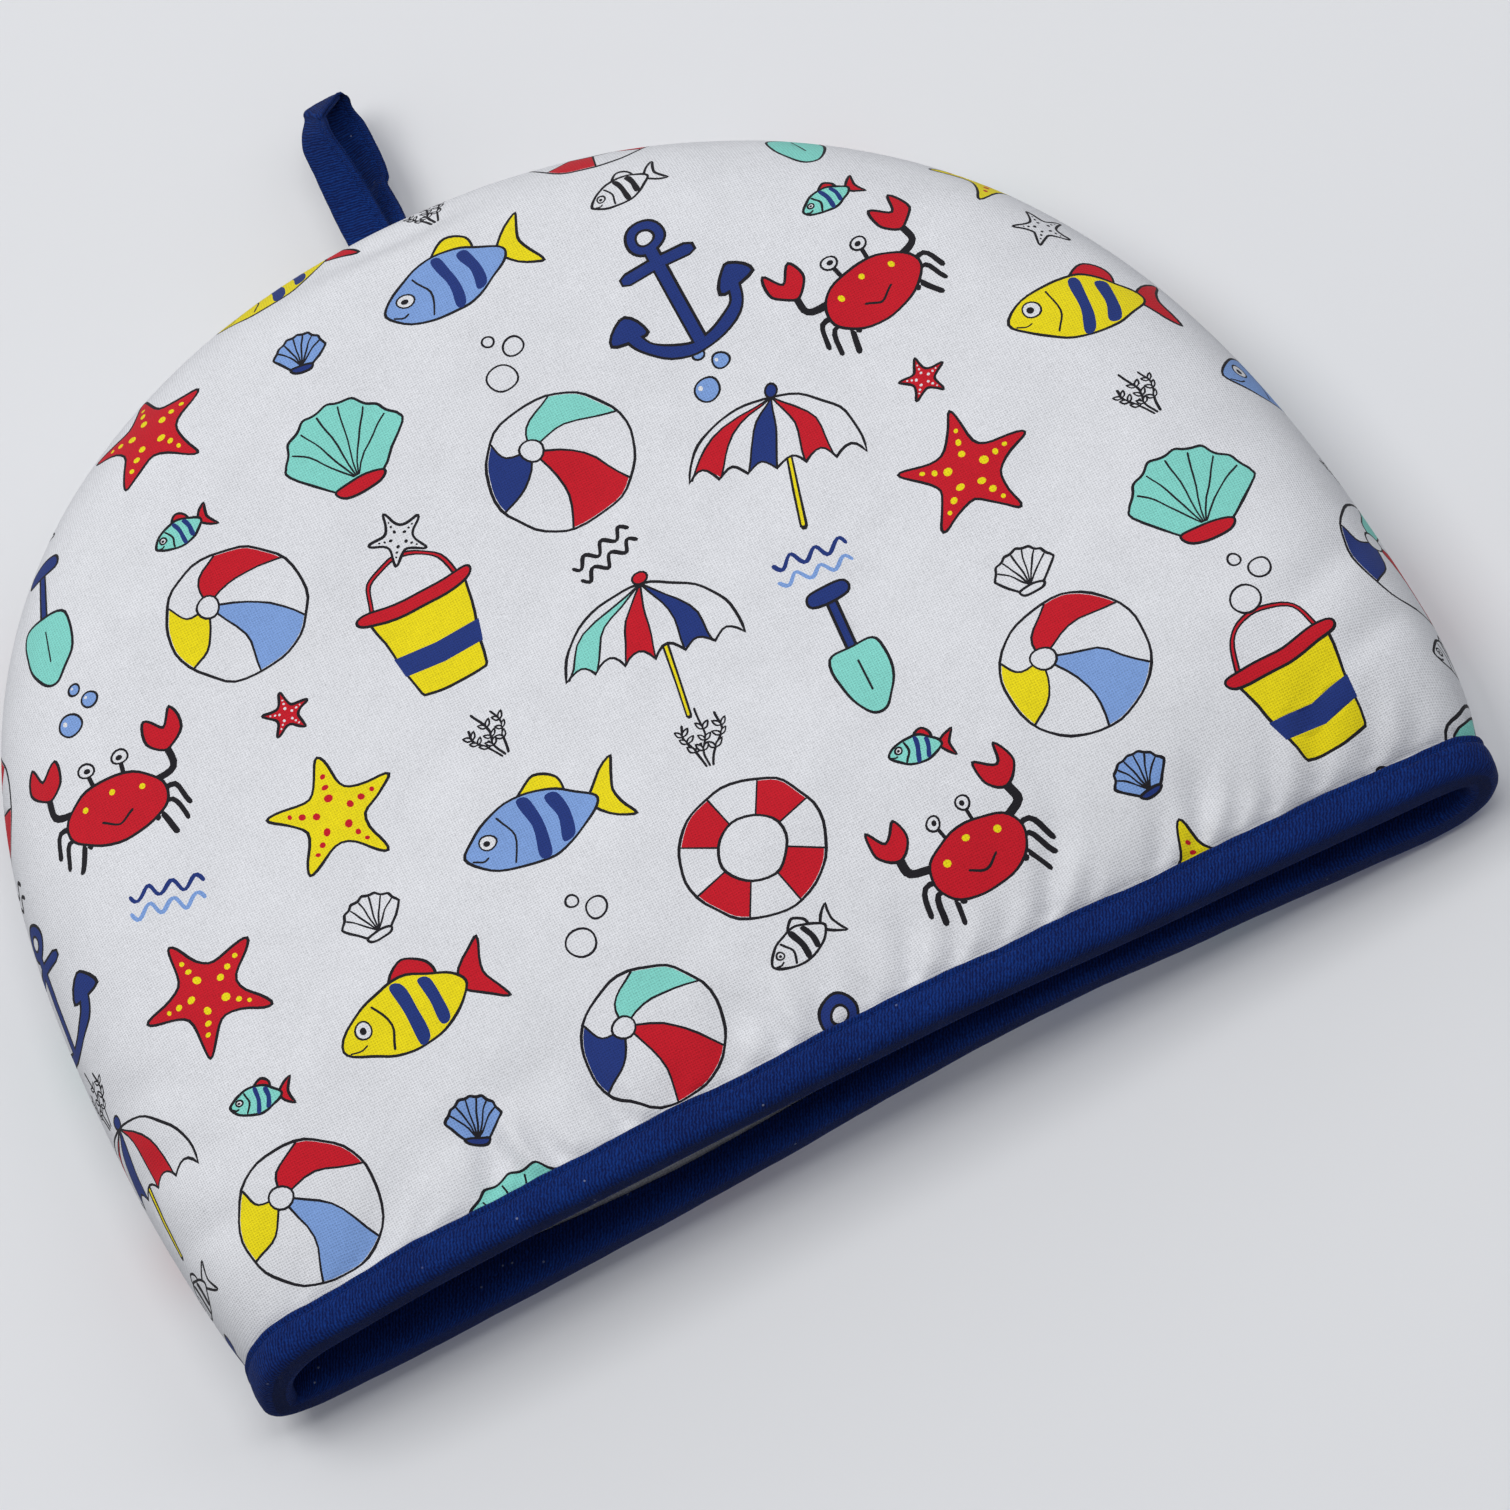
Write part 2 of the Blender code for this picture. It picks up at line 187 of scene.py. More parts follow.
def hem_depth(side, x):
    """Depth of the cloth at the hem, from the seam's plane, by the smoothed plan."""
    rows = np.array(HEM_PLAN)
    shifts = np.linspace(-PLAN_SMOOTHING, PLAN_SMOOTHING, PLAN_SAMPLES)
    plan = sum(np.interp(x + shift, rows[:, 0], rows[:, 1 if side < 0 else 2]) for shift in shifts)
    return side * (plan / PLAN_SAMPLES - SEAM_Y) - GAP - BINDING_OUT


def body_depth(side, z):
    return FRONT_DEPTH - TOP_THINNING * (z / HEIGHT) ** 2 if side < 0 else BACK_DEPTH


def cloth_depth(side, x, z, swell_from=PUFF_FROM):
    """Depth of the cloth above its hem, away from the seam."""
    hem = hem_depth(side, x)
    return hem + (body_depth(side, z) - hem) * rounded((z - swell_from) / PUFF_RISE, PUFF_POWER)


def edge_width(side, z, foot=SKIRT_TOP):
    """How far in from the seam the cloth is still rounding over."""
    edge = FRONT_EDGE if side < 0 else BACK_EDGE
    return HEM_EDGE + (edge - HEM_EDGE) * eased((z - foot) / EDGE_RISE)


def outer_face(z):
    """The inset of the outer face, which is none."""
    return 0.0 * z


def inside_padding(gap):
    """The inset of a layer that lies inside the padding."""
    return lambda z: gap + padding(z)


def dome_edge(angle, inset_at):
    """A layer's edge from its left end at angle 0 to its right end at pi."""
    foot = SKIRT_TOP + inset_at(0)
    arch = np.clip(np.sin(angle), 0, 1) ** (2 / SHOULDER_POWER)
    inset = inset_at(foot + (HEIGHT - foot) * arch)
    fuller = 1 + FULLER_BY * np.exp(-(((angle - FULLER_AT) / FULLER_OVER) ** 2))
    z = foot + (HEIGHT - foot - inset) * arch * fuller
    spread = np.where(np.cos(angle) > 0, LEFT_SPREAD, RIGHT_SPREAD)
    drawn_in = (HALF_WIDTH - HEM_HALF_WIDTH) * (1 - rounded((z - foot) / spread, SIDE_POWER))
    x = -np.cos(angle) * (HALF_WIDTH - drawn_in - inset) * fuller
    return x + TOP_LEAN * ((z / HEIGHT) ** LEAN_POWER - (foot / HEIGHT) ** LEAN_POWER), z


def edge_line(inset_at, count):
    """Evenly spaced points of a layer's edge, from the hem's left end to its right end."""
    fine = 0.5 * math.pi * (1 - np.cos(np.linspace(0, math.pi, EDGE_SAMPLES)))
    run = travelled(np.stack(dome_edge(fine, inset_at), axis=-1))
    return dome_edge(np.interp(np.linspace(0, run[-1], count), run, fine), inset_at)


class EdgeLine:
    """A line with straight ends below, for the distance of any point to it."""

    def __init__(self, x, z):
        x = np.concatenate([[x[0]], x, [x[-1]]])
        z = np.concatenate([[BELOW_HEM], z, [BELOW_HEM]])
        self.start = np.stack([x[:-1], z[:-1]], axis=-1)
        self.step = np.stack([np.diff(x), np.diff(z)], axis=-1)
        self.square = (self.step ** 2).sum(axis=-1)
        self.outward = np.stack([-self.step[:, 1], self.step[:, 0]], axis=-1)
        self.outward /= np.sqrt(self.square)[:, None]

    def nearest(self, points):
        """For each point: the nearest place on the edge, the way out there, and how far out it is."""
        foot, outward, out = np.empty_like(points), np.empty_like(points), np.empty(len(points))
        for first in range(0, len(points), AT_ONCE):
            part = slice(first, first + AT_ONCE)
            away = points[part, None] - self.start
            along = np.clip((away * self.step).sum(axis=-1) / self.square, 0, 1)
            away -= along[..., None] * self.step
            best = (away ** 2).sum(axis=-1).argmin(axis=1)
            row = np.arange(len(best))
            foot[part] = self.start[best] + along[row, best, None] * self.step[best]
            outward[part] = self.outward[best]
            way = points[part] - foot[part]
            out[part] = np.copysign(np.linalg.norm(way, axis=1), (way * outward[part]).sum(axis=-1))
            far = np.abs(out[part]) > 0.5
            outward[part][far] = way[far] / out[part][far, None]
        return foot, outward, out


def cloth_edge(count):
    """The outer face's edge, with its sides run smoothly in under the binding."""
    x, z = edge_line(outer_face, 4 * count)
    ends = []
    for rising in (slice(None), slice(None, None, -1)):
        side_x, side_z = x[rising], z[rising]
        join = int(np.argmax(side_z > SIDES_FROM))
        slope = (side_x[join + 1] - side_x[join]) / (side_z[join + 1] - side_z[join])
        share = np.linspace(0, 1, 25)[:-1]
        rise = side_z[join] - CLOTH_FOOT
        ends.append(np.stack([
            side_x[0] + (side_x[join] - side_x[0]) * (3 * share ** 2 - 2 * share ** 3)
            + slope * rise * (share ** 3 - share ** 2),
            CLOTH_FOOT + rise * share], axis=-1))
    keep = z > SIDES_FROM
    line = np.concatenate([ends[0], np.stack([x[keep], z[keep]], axis=-1), ends[1][::-1]])
    run = travelled(line)
    even = np.linspace(0, run[-1], count)
    return np.interp(even, run, line[:, 0]), np.interp(even, run, line[:, 1])


OUTER_EDGE = EdgeLine(*cloth_edge(EDGE_SAMPLES))


class Unrolled:
    """How a rounded edge unrolls: its length, and where each share of that length lies."""

    STEEPEST, KINDS, SAMPLES = 3.0, 61, 257

    def __init__(self, power):
        place = np.linspace(0, 1, 2001) ** 3
        height = rounded(place, power)
        self.kinds = np.linspace(0, self.STEEPEST, self.KINDS)
        runs = [travelled(np.stack([place, steepness * height], axis=-1)) for steepness in self.kinds]
        self.lengths = np.array([run[-1] for run in runs])
        self.places = np.array([np.interp(np.linspace(0, run[-1], self.SAMPLES), run, place)
                                for run in runs])

    def length(self, steepness):
        return np.interp(steepness, self.kinds, self.lengths)

    def place(self, steepness, share):
        row = np.clip(steepness / self.STEEPEST, 0, 1) * (self.KINDS - 1)
        column = np.clip(share, 0, 1) * (self.SAMPLES - 1)
        r = np.minimum(row.astype(int), self.KINDS - 2)
        c = np.minimum(column.astype(int), self.SAMPLES - 2)
        fr, fc = row - r, column - c
        upper = self.places[r, c] * (1 - fc) + self.places[r, c + 1] * fc
        lower = self.places[r + 1, c] * (1 - fc) + self.places[r + 1, c + 1] * fc
        return upper * (1 - fr) + lower * fr


EDGE_ROLL, PUFF_ROLL = Unrolled(EDGE_POWER), Unrolled(PUFF_POWER)


class Face:
    """The outer face of one panel."""

    def __init__(self, side):
        self.side = side

    def seam_steepness(self, foot):
        """How steeply the cloth rises from its seam at a place on the edge, evened out."""
        x, z = foot.T
        hem = hem_depth(self.side, x)
        depth = hem + (body_depth(self.side, z) - hem) * eased((z - CLOTH_FOOT) / PUFF_RISE)
        return depth / edge_width(self.side, z)

    def lay(self, flat):
        """Wraps flat cloth: for each flat point its x, z, distance from the seam, and way out."""
        foot, outward, out = OUTER_EDGE.nearest(flat)
        width, steepness = edge_width(self.side, foot[:, 1]), self.seam_steepness(foot)
        length = EDGE_ROLL.length(steepness) * width
        share = (length - width - out) / length
        distance = np.where(share < 1, width * EDGE_ROLL.place(steepness, share), -out)
        x, z = (foot - outward * distance[:, None]).T
        rise = body_depth(self.side, PUFF_FROM) - hem_depth(self.side, x)
        steepness = np.abs(rise) * rounded(distance / width, EDGE_POWER) / PUFF_RISE
        length = PUFF_ROLL.length(steepness) * PUFF_RISE
        up = z - PUFF_FROM + length - PUFF_RISE
        lifted = PUFF_FROM + np.where(up < 0, up, PUFF_RISE * PUFF_ROLL.place(steepness, up / length))
        return x, np.where(up < length, lifted, z), distance, outward

    def flat_edge(self, pitch):
        """The flat cloth's outline, from the hem's left end over the dome and back along the hem."""
        foot, outward, _ = OUTER_EDGE.nearest(np.stack(cloth_edge(int(DOME_RUN / pitch)), axis=-1))
        longer = EDGE_ROLL.length(self.seam_steepness(foot)) - 1
        dome = foot + outward * (edge_width(self.side, foot[:, 1]) * longer)[:, None]
        across = np.linspace(dome[-1, 0], dome[0, 0], int(HEM_RUN / pitch))[1:-1]
        hem = np.stack([across, np.full_like(across, CLOTH_FOOT)], axis=-1)
        for _ in range(6):
            hem[:, 1] -= self.lay(hem)[1] - CLOTH_FOOT
        return dome, hem

    def folds(self, x, z):
        total = np.zeros_like(x)
        for across, up, phase, depth in SWELLS:
            total += depth * np.sin(2 * math.pi * (x / across + z / up) + phase + self.side)
        for fold_x, fold_z, length, width, turn, depth in (FOLDS if self.side < 0 else ()):
            along, across = turned(x - fold_x, z - fold_z, turn)
            total += depth * np.exp(-((along / length) ** 2) - (across / width) ** 2)
        return total

    def gathers(self, x, z):
        total = np.zeros_like(x)
        for gather_x, height, width, lean, depth in (GATHERS if self.side < 0 else ()):
            along, across = turned(x - gather_x, z - PUFF_FROM, lean)
            wider = width * (1 + 0.5 * np.maximum(along, 0) / height)
            fade = np.exp(-np.maximum(along - 0.25 * height, 0) ** 2 / (0.5 * height) ** 2)
            ridge = np.exp(-((across / wider) ** 2)) - 0.5 * np.exp(-(((across + 1.7 * wider) / wider) ** 2))
            total += depth * fade * ridge
        return total

    def outer(self, x, z, distance):
        share = rounded(distance / edge_width(self.side, z), EDGE_POWER)
        depth = SEAM_HALF_GAP + (cloth_depth(self.side, x, z) - SEAM_HALF_GAP) * share
        folds = self.folds(x, z) * eased((z - PUFF_FROM) / FOLD_RISE)
        folds += self.gathers(x, z) * eased((z - GATHER_FROM) / GATHER_RISE)
        return np.stack([x, SEAM_Y + self.side * depth - self.side * folds * share, z], axis=-1)

    def inner(self, x, z, distance, outward):
        """The padding's inner face, opposite the same flat points."""
        inset, edge = padding(z), edge_width(self.side, z)
        inward = inset * np.clip(1 - distance / edge, 0, 1)
        share = rounded((distance + inward - inset) / (edge - EDGE_TIGHTER * inset), EDGE_POWER)
        depth = SEAM_HALF_GAP + (cloth_depth(self.side, x, z) - inset) * share
        x, z = x - outward[:, 0] * inward, z - outward[:, 1] * inward
        return np.stack([x, SEAM_Y + self.side * depth, z], axis=-1)


# ---------------------------------------------------------------- meshes

def add_object(name, data):
    obj = bpy.data.objects.new(name, data)
    bpy.context.scene.collection.objects.link(obj)
    return obj


def mesh_of(name, points, edges=(), faces=()):
    """A mesh from points in millimetres."""
    mesh = bpy.data.meshes.new(name)
    points = (np.asarray(points) - BOX_MIDDLE) * METRES_PER_MM
    mesh.from_pydata([tuple(p) for p in points], edges, [tuple(int(i) for i in f) for f in faces])
    return mesh


def piece_of(name, points, faces, material, cloth):
    """A smooth piece with the cloth's own coordinates, in centimetres, as its UV map."""
    mesh = mesh_of(name, points, (), faces)
    mesh.materials.append(MATERIALS[material])
    mesh.shade_smooth()
    mesh.update()
    layer = mesh.uv_layers.new(name="cloth")
    corner = np.empty(len(mesh.loops), dtype=np.int32)
    mesh.loops.foreach_get("vertex_index", corner)
    layer.data.foreach_set("uv", (np.asarray(cloth)[corner] * 0.1).astype(np.float32).ravel())
    return add_object(name, mesh)


class Shell:
    """Collects points, a pair of cloth coordinates for each, and the faces between rows of them."""

    def __init__(self):
        self.points, self.cloth, self.faces = [], [], []

    def add(self, points, cloth=None):
        points = np.asarray(points)
        start = len(self.points)
        self.points.extend(points.reshape(-1, 3))
        cloth = points[..., [0, 2]] if cloth is None else np.asarray(cloth)
        self.cloth.extend(cloth.reshape(-1, 2))
        return np.arange(start, len(self.points)).reshape(points.shape[:-1])

    def band(self, first, second, flip=False):
        for a, b, c, d in zip(first[:-1], first[1:], second[1:], second[:-1]):
            self.faces.append((a, d, c, b) if flip else (a, b, c, d))

    def bands(self, rows, flip=False):
        for first, second in zip(rows[:-1], rows[1:]):
            self.band(first, second, flip)

    def ring(self, first, second, flip=False):
        self.band(np.append(first, first[0]), np.append(second, second[0]), flip)

    def piece(self, name, material):
        """The finished piece, with its faces turned outwards."""
        obj = piece_of(name, self.points, self.faces, material, self.cloth)
        shaped = bmesh.new()
        shaped.from_mesh(obj.data)
        bmesh.ops.recalc_face_normals(shaped, faces=shaped.faces)
        shaped.to_mesh(obj.data)
        shaped.free()
        return obj


# ---------------------------------------------------------------- the printed pattern

def dye(red, green, blue, share=1.14):
    """A colour read in the picture's light, as the cloth's own linear colour."""
    def linear(value):
        value /= 255
        return value / 12.92 if value <= 0.04045 else ((value + 0.055) / 1.055) ** 2.4
    return tuple(min(0.9, linear(value) * share) for value in (red, green, blue))


INKS = {
    "cloth": dye(218, 219, 223),
    "outline": dye(24, 22, 28),
    "red": dye(192, 14, 34),
    "yellow": dye(232, 212, 10),
    "mint": dye(128, 208, 196),
    "blue": dye(122, 156, 212),
    "navy": dye(28, 50, 118),
}
LINE, THIN = 0.75, 0.6      # widths of the drawn outlines
UNSTEADY = 0.16             # how far the drawing hand strays


def fan(degrees, reach=1.0):
    """Points at the given angles round the middle."""
    turn = np.radians(degrees)
    return np.stack([reach * np.cos(turn), reach * np.sin(turn)], axis=-1)


def circle(radius, count, cx=0, cz=0, flat=1):
    turn = np.linspace(0, 2 * math.pi, count, endpoint=False)
    return np.stack([cx + radius * np.cos(turn), cz + radius * flat * np.sin(turn)], axis=-1)


def smooth_line(points, count, closed=False):
    """A smooth curve through the points."""
    points = np.asarray(points, dtype=float)
    if closed:
        points = np.concatenate([points[-1:], points, points[:2]])
    else:
        points = np.concatenate([2 * points[:1] - points[1:2], points, 2 * points[-1:] - points[-2:-1]])
    spans = len(points) - 3
    place = np.linspace(0, spans, count, endpoint=not closed)
    index = np.minimum(place.astype(int), spans - 1)
    t = (place - index)[:, None]
    a, b, c, d = (points[index + k] for k in range(4))
    return 0.5 * (2 * b + (c - a) * t + (2 * a - 5 * b + 4 * c - d) * t ** 2
                  + (3 * b - a - 3 * c + d) * t ** 3)


def grown(points, by):
    """A closed outline moved outwards by a distance."""
    ahead, behind = np.roll(points, -1, axis=0) - points, points - np.roll(points, 1, axis=0)
    ahead /= lengths(ahead) + 1e-9
    behind /= lengths(behind) + 1e-9
    way = ahead + behind
    size = lengths(way) + 1e-9
    normal = np.stack([way[:, 1], -way[:, 0]], axis=-1) / size
    area = np.sum(points[:, 0] * np.roll(points[:, 1], -1) - points[:, 1] * np.roll(points[:, 0], -1))
    return points + normal * (by * np.sign(area) * np.minimum(2 / size, 1.6))


class Print:
    """Shapes in flat cloth millimetres, in the order in which they are printed."""

    def __init__(self, seed):
        self.shapes = []
        self.random = np.random.default_rng(seed)
        self.place(0, 0, 0, 1)

    def place(self, x, z, turn, size):
        c, s = (part * size for part in cos_sin(turn))
        self.matrix, self.centre, self.size = np.array([[c, s], [-s, c]]), np.array([x, z]), size
        self.wobble = self.random.uniform(0, 6.28, 4)

    def patch(self, points, ink):
        """A filled shape, drawn with a slightly unsteady hand."""
        points = np.asarray(points, dtype=float)
        a, b, c, d = self.wobble
        x, z = points.T
        shift = np.stack([np.sin(z * 0.5 + a) + np.sin(x * 0.9 + b),
                          np.sin(x * 0.5 + c) + np.sin(z * 0.9 + d)], axis=-1)
        self.shapes.append(((points + UNSTEADY * shift) @ self.matrix + self.centre, ink))

    def drawn(self, points, ink, line=LINE):
        """A filled shape with an outline round it."""
        half = 0.5 * line / self.size
        self.patch(grown(points, half), "outline")
        self.patch(grown(points, -half), ink)

    def line(self, points, width=LINE, ink="outline"):
        """An open line with rounded ends."""
        points, half = np.asarray(points, dtype=float), 0.5 * width / self.size
        along = np.gradient(points, axis=0)
        along /= lengths(along) + 1e-9
        side = np.stack([-along[:, 1], along[:, 0]], axis=-1) * half
        tip, tail = along[-1] * half, along[0] * half
        self.patch(np.concatenate([points + side, [points[-1] + side[-1] * 0.5 + tip],
                                   [points[-1] - side[-1] * 0.5 + tip], (points - side)[::-1],
                                   [points[0] - side[0] * 0.5 - tail],
                                   [points[0] + side[0] * 0.5 - tail]]), ink)

    def blob(self, points, count, ink, line=LINE):
        self.drawn(smooth_line(points, count, True), ink, line)

    def curve(self, points, count=9, width=LINE, ink="outline"):
        self.line(smooth_line(points, count), width, ink)


def scallops(marks, shares, high, dip):
    """Low arches from each mark to the next, as one list of points for each."""
    return [[(left + (right - left) * t, high + dip * math.sin(math.pi * t)) for t in shares]
            for left, right in zip(marks[:-1], marks[1:])]


def beach_ball(pen, inks):
    radius, pole = 15.5, np.array([-4.5, 5])
    reach = radius - 0.4
    pen.drawn(circle(radius, 44), "cloth")
    rims = np.linspace(20, 380, 7)

    def rib(turn):
        (rim, across) = fan([turn, turn + 90])
        return smooth_line([pole, 0.5 * (pole + rim * reach) + 2.6 * across, rim * reach], 9)

    for index, (first, second) in enumerate(zip(rims[:-1], rims[1:])):
        if index % 2 == 0:
            rim = fan(np.linspace(first, second, 9)[1:-1], reach)
            pen.patch(np.concatenate([rib(first), rim, rib(second)[::-1]]), inks[index // 2])
        pen.line(rib(first), THIN)
    pen.drawn(circle(2.6, 16, *pole), "cloth", THIN)


def parasol(pen, inks):
    half, top, lean = 19, 17, np.array([[0.97, -0.24], [0.24, 0.97]])
    pen.line([(3, 2), (1.5, -8), (0.4, -16.6)], 1.9)
    pen.line([(3, 2), (1.5, -8), (0.4, -16.2)], 0.7, "yellow")
    marks, shares = np.linspace(-half, half, 7), np.linspace(0, 1, 7)
    dome = fan(np.linspace(0, 180, 31)) * (half, top) - (0, 1)
    pen.drawn(np.concatenate([dome, np.concatenate(scallops(marks, shares[:-1], -1, 2.4))[1:]]) @ lean,
              "cloth")

    def rib(mark):
        return smooth_line([(0, top - 1), (mark * 0.98 * 0.72, top * 0.52), (mark * 0.98 * 0.985, -0.7)], 9)

    for index, low in enumerate(scallops(marks, shares[1:-1], -0.6, 2.2)):
        if index % 2 == 0:
            gore = np.concatenate([rib(marks[index]), low, rib(marks[index + 1])[::-1]])
            pen.patch(gore @ lean, inks[index // 2])
        pen.line(rib(marks[index]) @ lean, 0.55)
    pen.drawn(circle(1.5, 12, 0, top + 0.4) @ lean, inks[1], THIN)


def bucket(pen, inks):
    for width, ink in ((1.5, "outline"), (0.5, inks[1])):
        pen.curve([(-10.2, 8.5), (-7.5, 17), (0, 20.4), (7.5, 17), (10.2, 8.5)], 25, width, ink)
    bulge = np.sin(np.linspace(0, math.pi, 9))
    left = np.linspace((-11, 8.6), (-7.4, -12), 8)
    low = np.stack([np.linspace(-7, 7, 9), -12.6 - 0.9 * bulge], axis=-1)
    top = np.stack([np.linspace(10.4, -10.4, 9), 9 - 0.7 * bulge], axis=-1)
    pen.drawn(np.concatenate([left, low, left[::-1] * (-1, 1), top]), inks[0])
    (low_half, low_z), (high_half, high_z) = ((8.6 + 0.175 * (z + 8), z) for z in (-6.6, -1.4))
    pen.patch([(-low_half, low_z), (0, low_z - 0.9), (low_half, low_z),
               (high_half, high_z), (0, high_z - 0.9), (-high_half, high_z)], inks[2])
    pen.blob([(-11.6, 8.2), (0, 7), (11.6, 8.2), (11.8, 11), (0, 10.2), (-11.8, 11)], 40, inks[1])


def spade(pen, inks):
    pen.line([(0, 0), (0, 15)], 3)
    pen.line([(0, 0.2), (0, 14.8)], 1.5, inks[1])
    pen.blob([(-4, 14), (4, 14), (4.2, 17), (0, 17.8), (-4.2, 17)], 24, inks[1])
    pen.blob([(-5.4, 1), (0, 2), (5.4, 1), (5.6, -7), (2.6, -13), (0, -14.6), (-2.6, -13), (-5.6, -7)],
             40, inks[0])
    pen.line([(0, -1.5), (0, -9)], 0.5)


def fish(pen, inks):
    pen.blob([(10.5, 0), (18.5, 7.8), (16.2, 0), (18.5, -7.8)], 26, inks[1])
    pen.blob([(-3, 6.5), (2, 11.6), (6.8, 8.6), (6, 4)], 22, inks[1])
    pen.blob([(-17.5, 0), (-10, 6.4), (0, 8.4), (8, 4.6), (12.4, 0), (8, -4.6), (0, -8), (-10, -6.2)],
             48, inks[0])
    for x, half in ((-1.6, 7.5), (4.2, 5.9)):
        pen.patch(smooth_line([(x - 1.3, half - 0.3), (x + 1.3, half - 0.6), (x + 2, 0),
                               (x + 1.3, 0.6 - half), (x - 1.3, 0.3 - half), (x - 0.6, 0)], 26, True),
                  inks[2])
    pen.curve([(-8, 5.6), (-6, 0), (-8, -5.4)], width=0.6)
    pen.drawn(circle(1.9, 14, -11.8, 1.6), "cloth", 0.5)
    pen.patch(circle(0.8, 10, -12, 1.5), "outline")
    pen.curve([(-16.2, -1.4), (-14.2, -2.2), (-12.8, -1.8)], 6, 0.5)


def starfish(pen, inks, radius=15):
    arms = fan(90 + 36 * np.arange(10), radius)
    arms[1::2] *= 0.47
    pen.blob(arms, 70, inks[0])
    for way in fan(90 + 72 * np.arange(5), radius):
        for reach, size in ((0.28, 0.062), (0.48, 0.05), (0.66, 0.038)):
            pen.patch(circle(radius * size, 9, *(way * reach)), inks[1])


def shell(pen, inks, radius=14.5):
    rim = [fan(162 - 24 * index - step, radius * (0.955 if step else 1)) - (0, 2)
           for index in range(7) for step in (-9, 0, 9)]
    foot = radius * np.array([(0.42, -0.56), (0.26, -0.62), (0, -0.7), (-0.26, -0.62), (-0.42, -0.56)])
    pen.blob(np.concatenate([rim, foot]), 90, inks[0])
    for index in range(6):
        way = radius * fan(150 - 24 * index)
        pen.curve([(0.06 * way[0], -0.45 * radius), (0.55 * way[0], 0.5 * way[1] - 2.6),
                   (0.88 * way[0], 0.88 * way[1] - 2)], width=0.5)
    pen.blob(radius * np.array([(-0.4, -0.58), (0, -0.5), (0.4, -0.58), (0.26, -0.76), (-0.26, -0.76)]),
             26, inks[1])


def life_ring(pen, inks):
    outer, inner = 15, 7.2
    pen.drawn(circle(outer, 48), "cloth")
    for start in (22, 112, 202, 292):
        ring = fan(np.linspace(start, start + 46, 9))
        pen.patch(np.concatenate([ring * (outer - 0.4), (ring * inner)[::-1]]), inks[0])
        for way in (ring[0], ring[-1]):
            pen.line([way * (inner + 0.2), way * (outer - 0.2)], 0.5)
    pen.drawn(circle(inner, 30), "cloth")


def anchor(pen, inks):
    lines = (smooth_line([(-12.5, -6), (-9.5, -12.6), (0, -16.6), (9.5, -12.6), (12.5, -6)], 27),
             [(0, -15.5), (0, -4), (0, 8.5)], [(-7, 5.2), (0, 5.2), (7, 5.2)])
    barbs = [smooth_line([(side * 16.6, -7), (side * 12.2, -2.4), (side * 8.6, -8.2)], 14, True)
             for side in (-1, 1)]
    for width, more, radius, ink in ((4.2, 0.5, 4.7, "outline"), (2.8, -0.25, 4, inks[0])):
        for line in lines:
            pen.line(line, width, ink)
        for barb in barbs:
            pen.patch(grown(barb, more), ink)
        pen.patch(circle(radius, 26, 0, 12.2), ink)
    pen.drawn(circle(1.9, 18, 0, 12.2), "cloth", 0.7)


def crab(pen, inks):
    for side in (-1, 1):
        for lift, reach in ((-1.5, 15.5), (-4.5, 14), (-7, 11)):
            pen.curve([(side * 8, lift), (side * (reach - 2), lift + 1.2), (side * reach, lift - 4.2)],
                      width=1.5)
        pen.curve([(side * 9, 2), (side * 14, 4), (side * 14, 9)], width=2.2)
        pen.blob([(side * 14, 8), (side * 18.2, 12), (side * 16.8, 17.4), (side * 14.6, 13.2),
                  (side * 10.6, 16.2), (side * 10.2, 11)], 30, inks[0])
        pen.line([(side * 3.4, 5), (side * 3.8, 9.6)], 1.1)
        pen.drawn(circle(1.7, 14, side * 3.9, 10.4), "cloth", THIN)
        pen.patch(circle(0.7, 9, side * 3.7, 10.3), "outline")
    pen.drawn(circle(11.6, 40, 0, -1, 0.66), inks[0])
    pen.curve([(-3.4, -2.6), (0, -4.6), (3.4, -2.6)], 11, 0.7)
    for x, z in ((-6.6, 1.6), (6.6, 1.6), (0, 3.4)):
        pen.patch(circle(0.8, 9, x, z), inks[1])


def bubbles(pen, inks):
    for x, z, radius in ((-4, -3, 3.3), (2.8, 1.8, 2.3), (-1, 6.4, 1.5)):
        pen.drawn(circle(radius, 20, x, z), inks[0], THIN)
        pen.patch(circle(radius * 0.22, 8, x - radius * 0.35, z + radius * 0.35), "cloth")


def seaweed(pen, inks):
    for x, high, bend in ((-4.6, 5, -0.8), (0, 9.5, 0.8), (4.6, 6.4, 0.9)):
        stem = smooth_line([(0.25 * x, -9), (0.8 * x - bend, -4), (x + bend, 1),
                            (1.15 * x - 0.6 * bend, high)], 21)
        pen.line(stem, 0.7, inks[0])
        for root in stem[7:19:4]:
            for side in (-1, 1):
                pen.blob(root + [(0, 0), (side * 1.3, 0.3), (side * 1.9, 1.9), (side * 0.5, 1.3)],
                         12, "cloth", 0.5)


def waves(pen, inks):
    place = np.linspace(-9, 9, 31)
    for lift, ink in ((2.4, inks[0]), (-2.4, inks[1])):
        pen.line(np.stack([place, lift + 1.5 * np.sin(place * 1.05)], axis=-1), 1.1, ink)


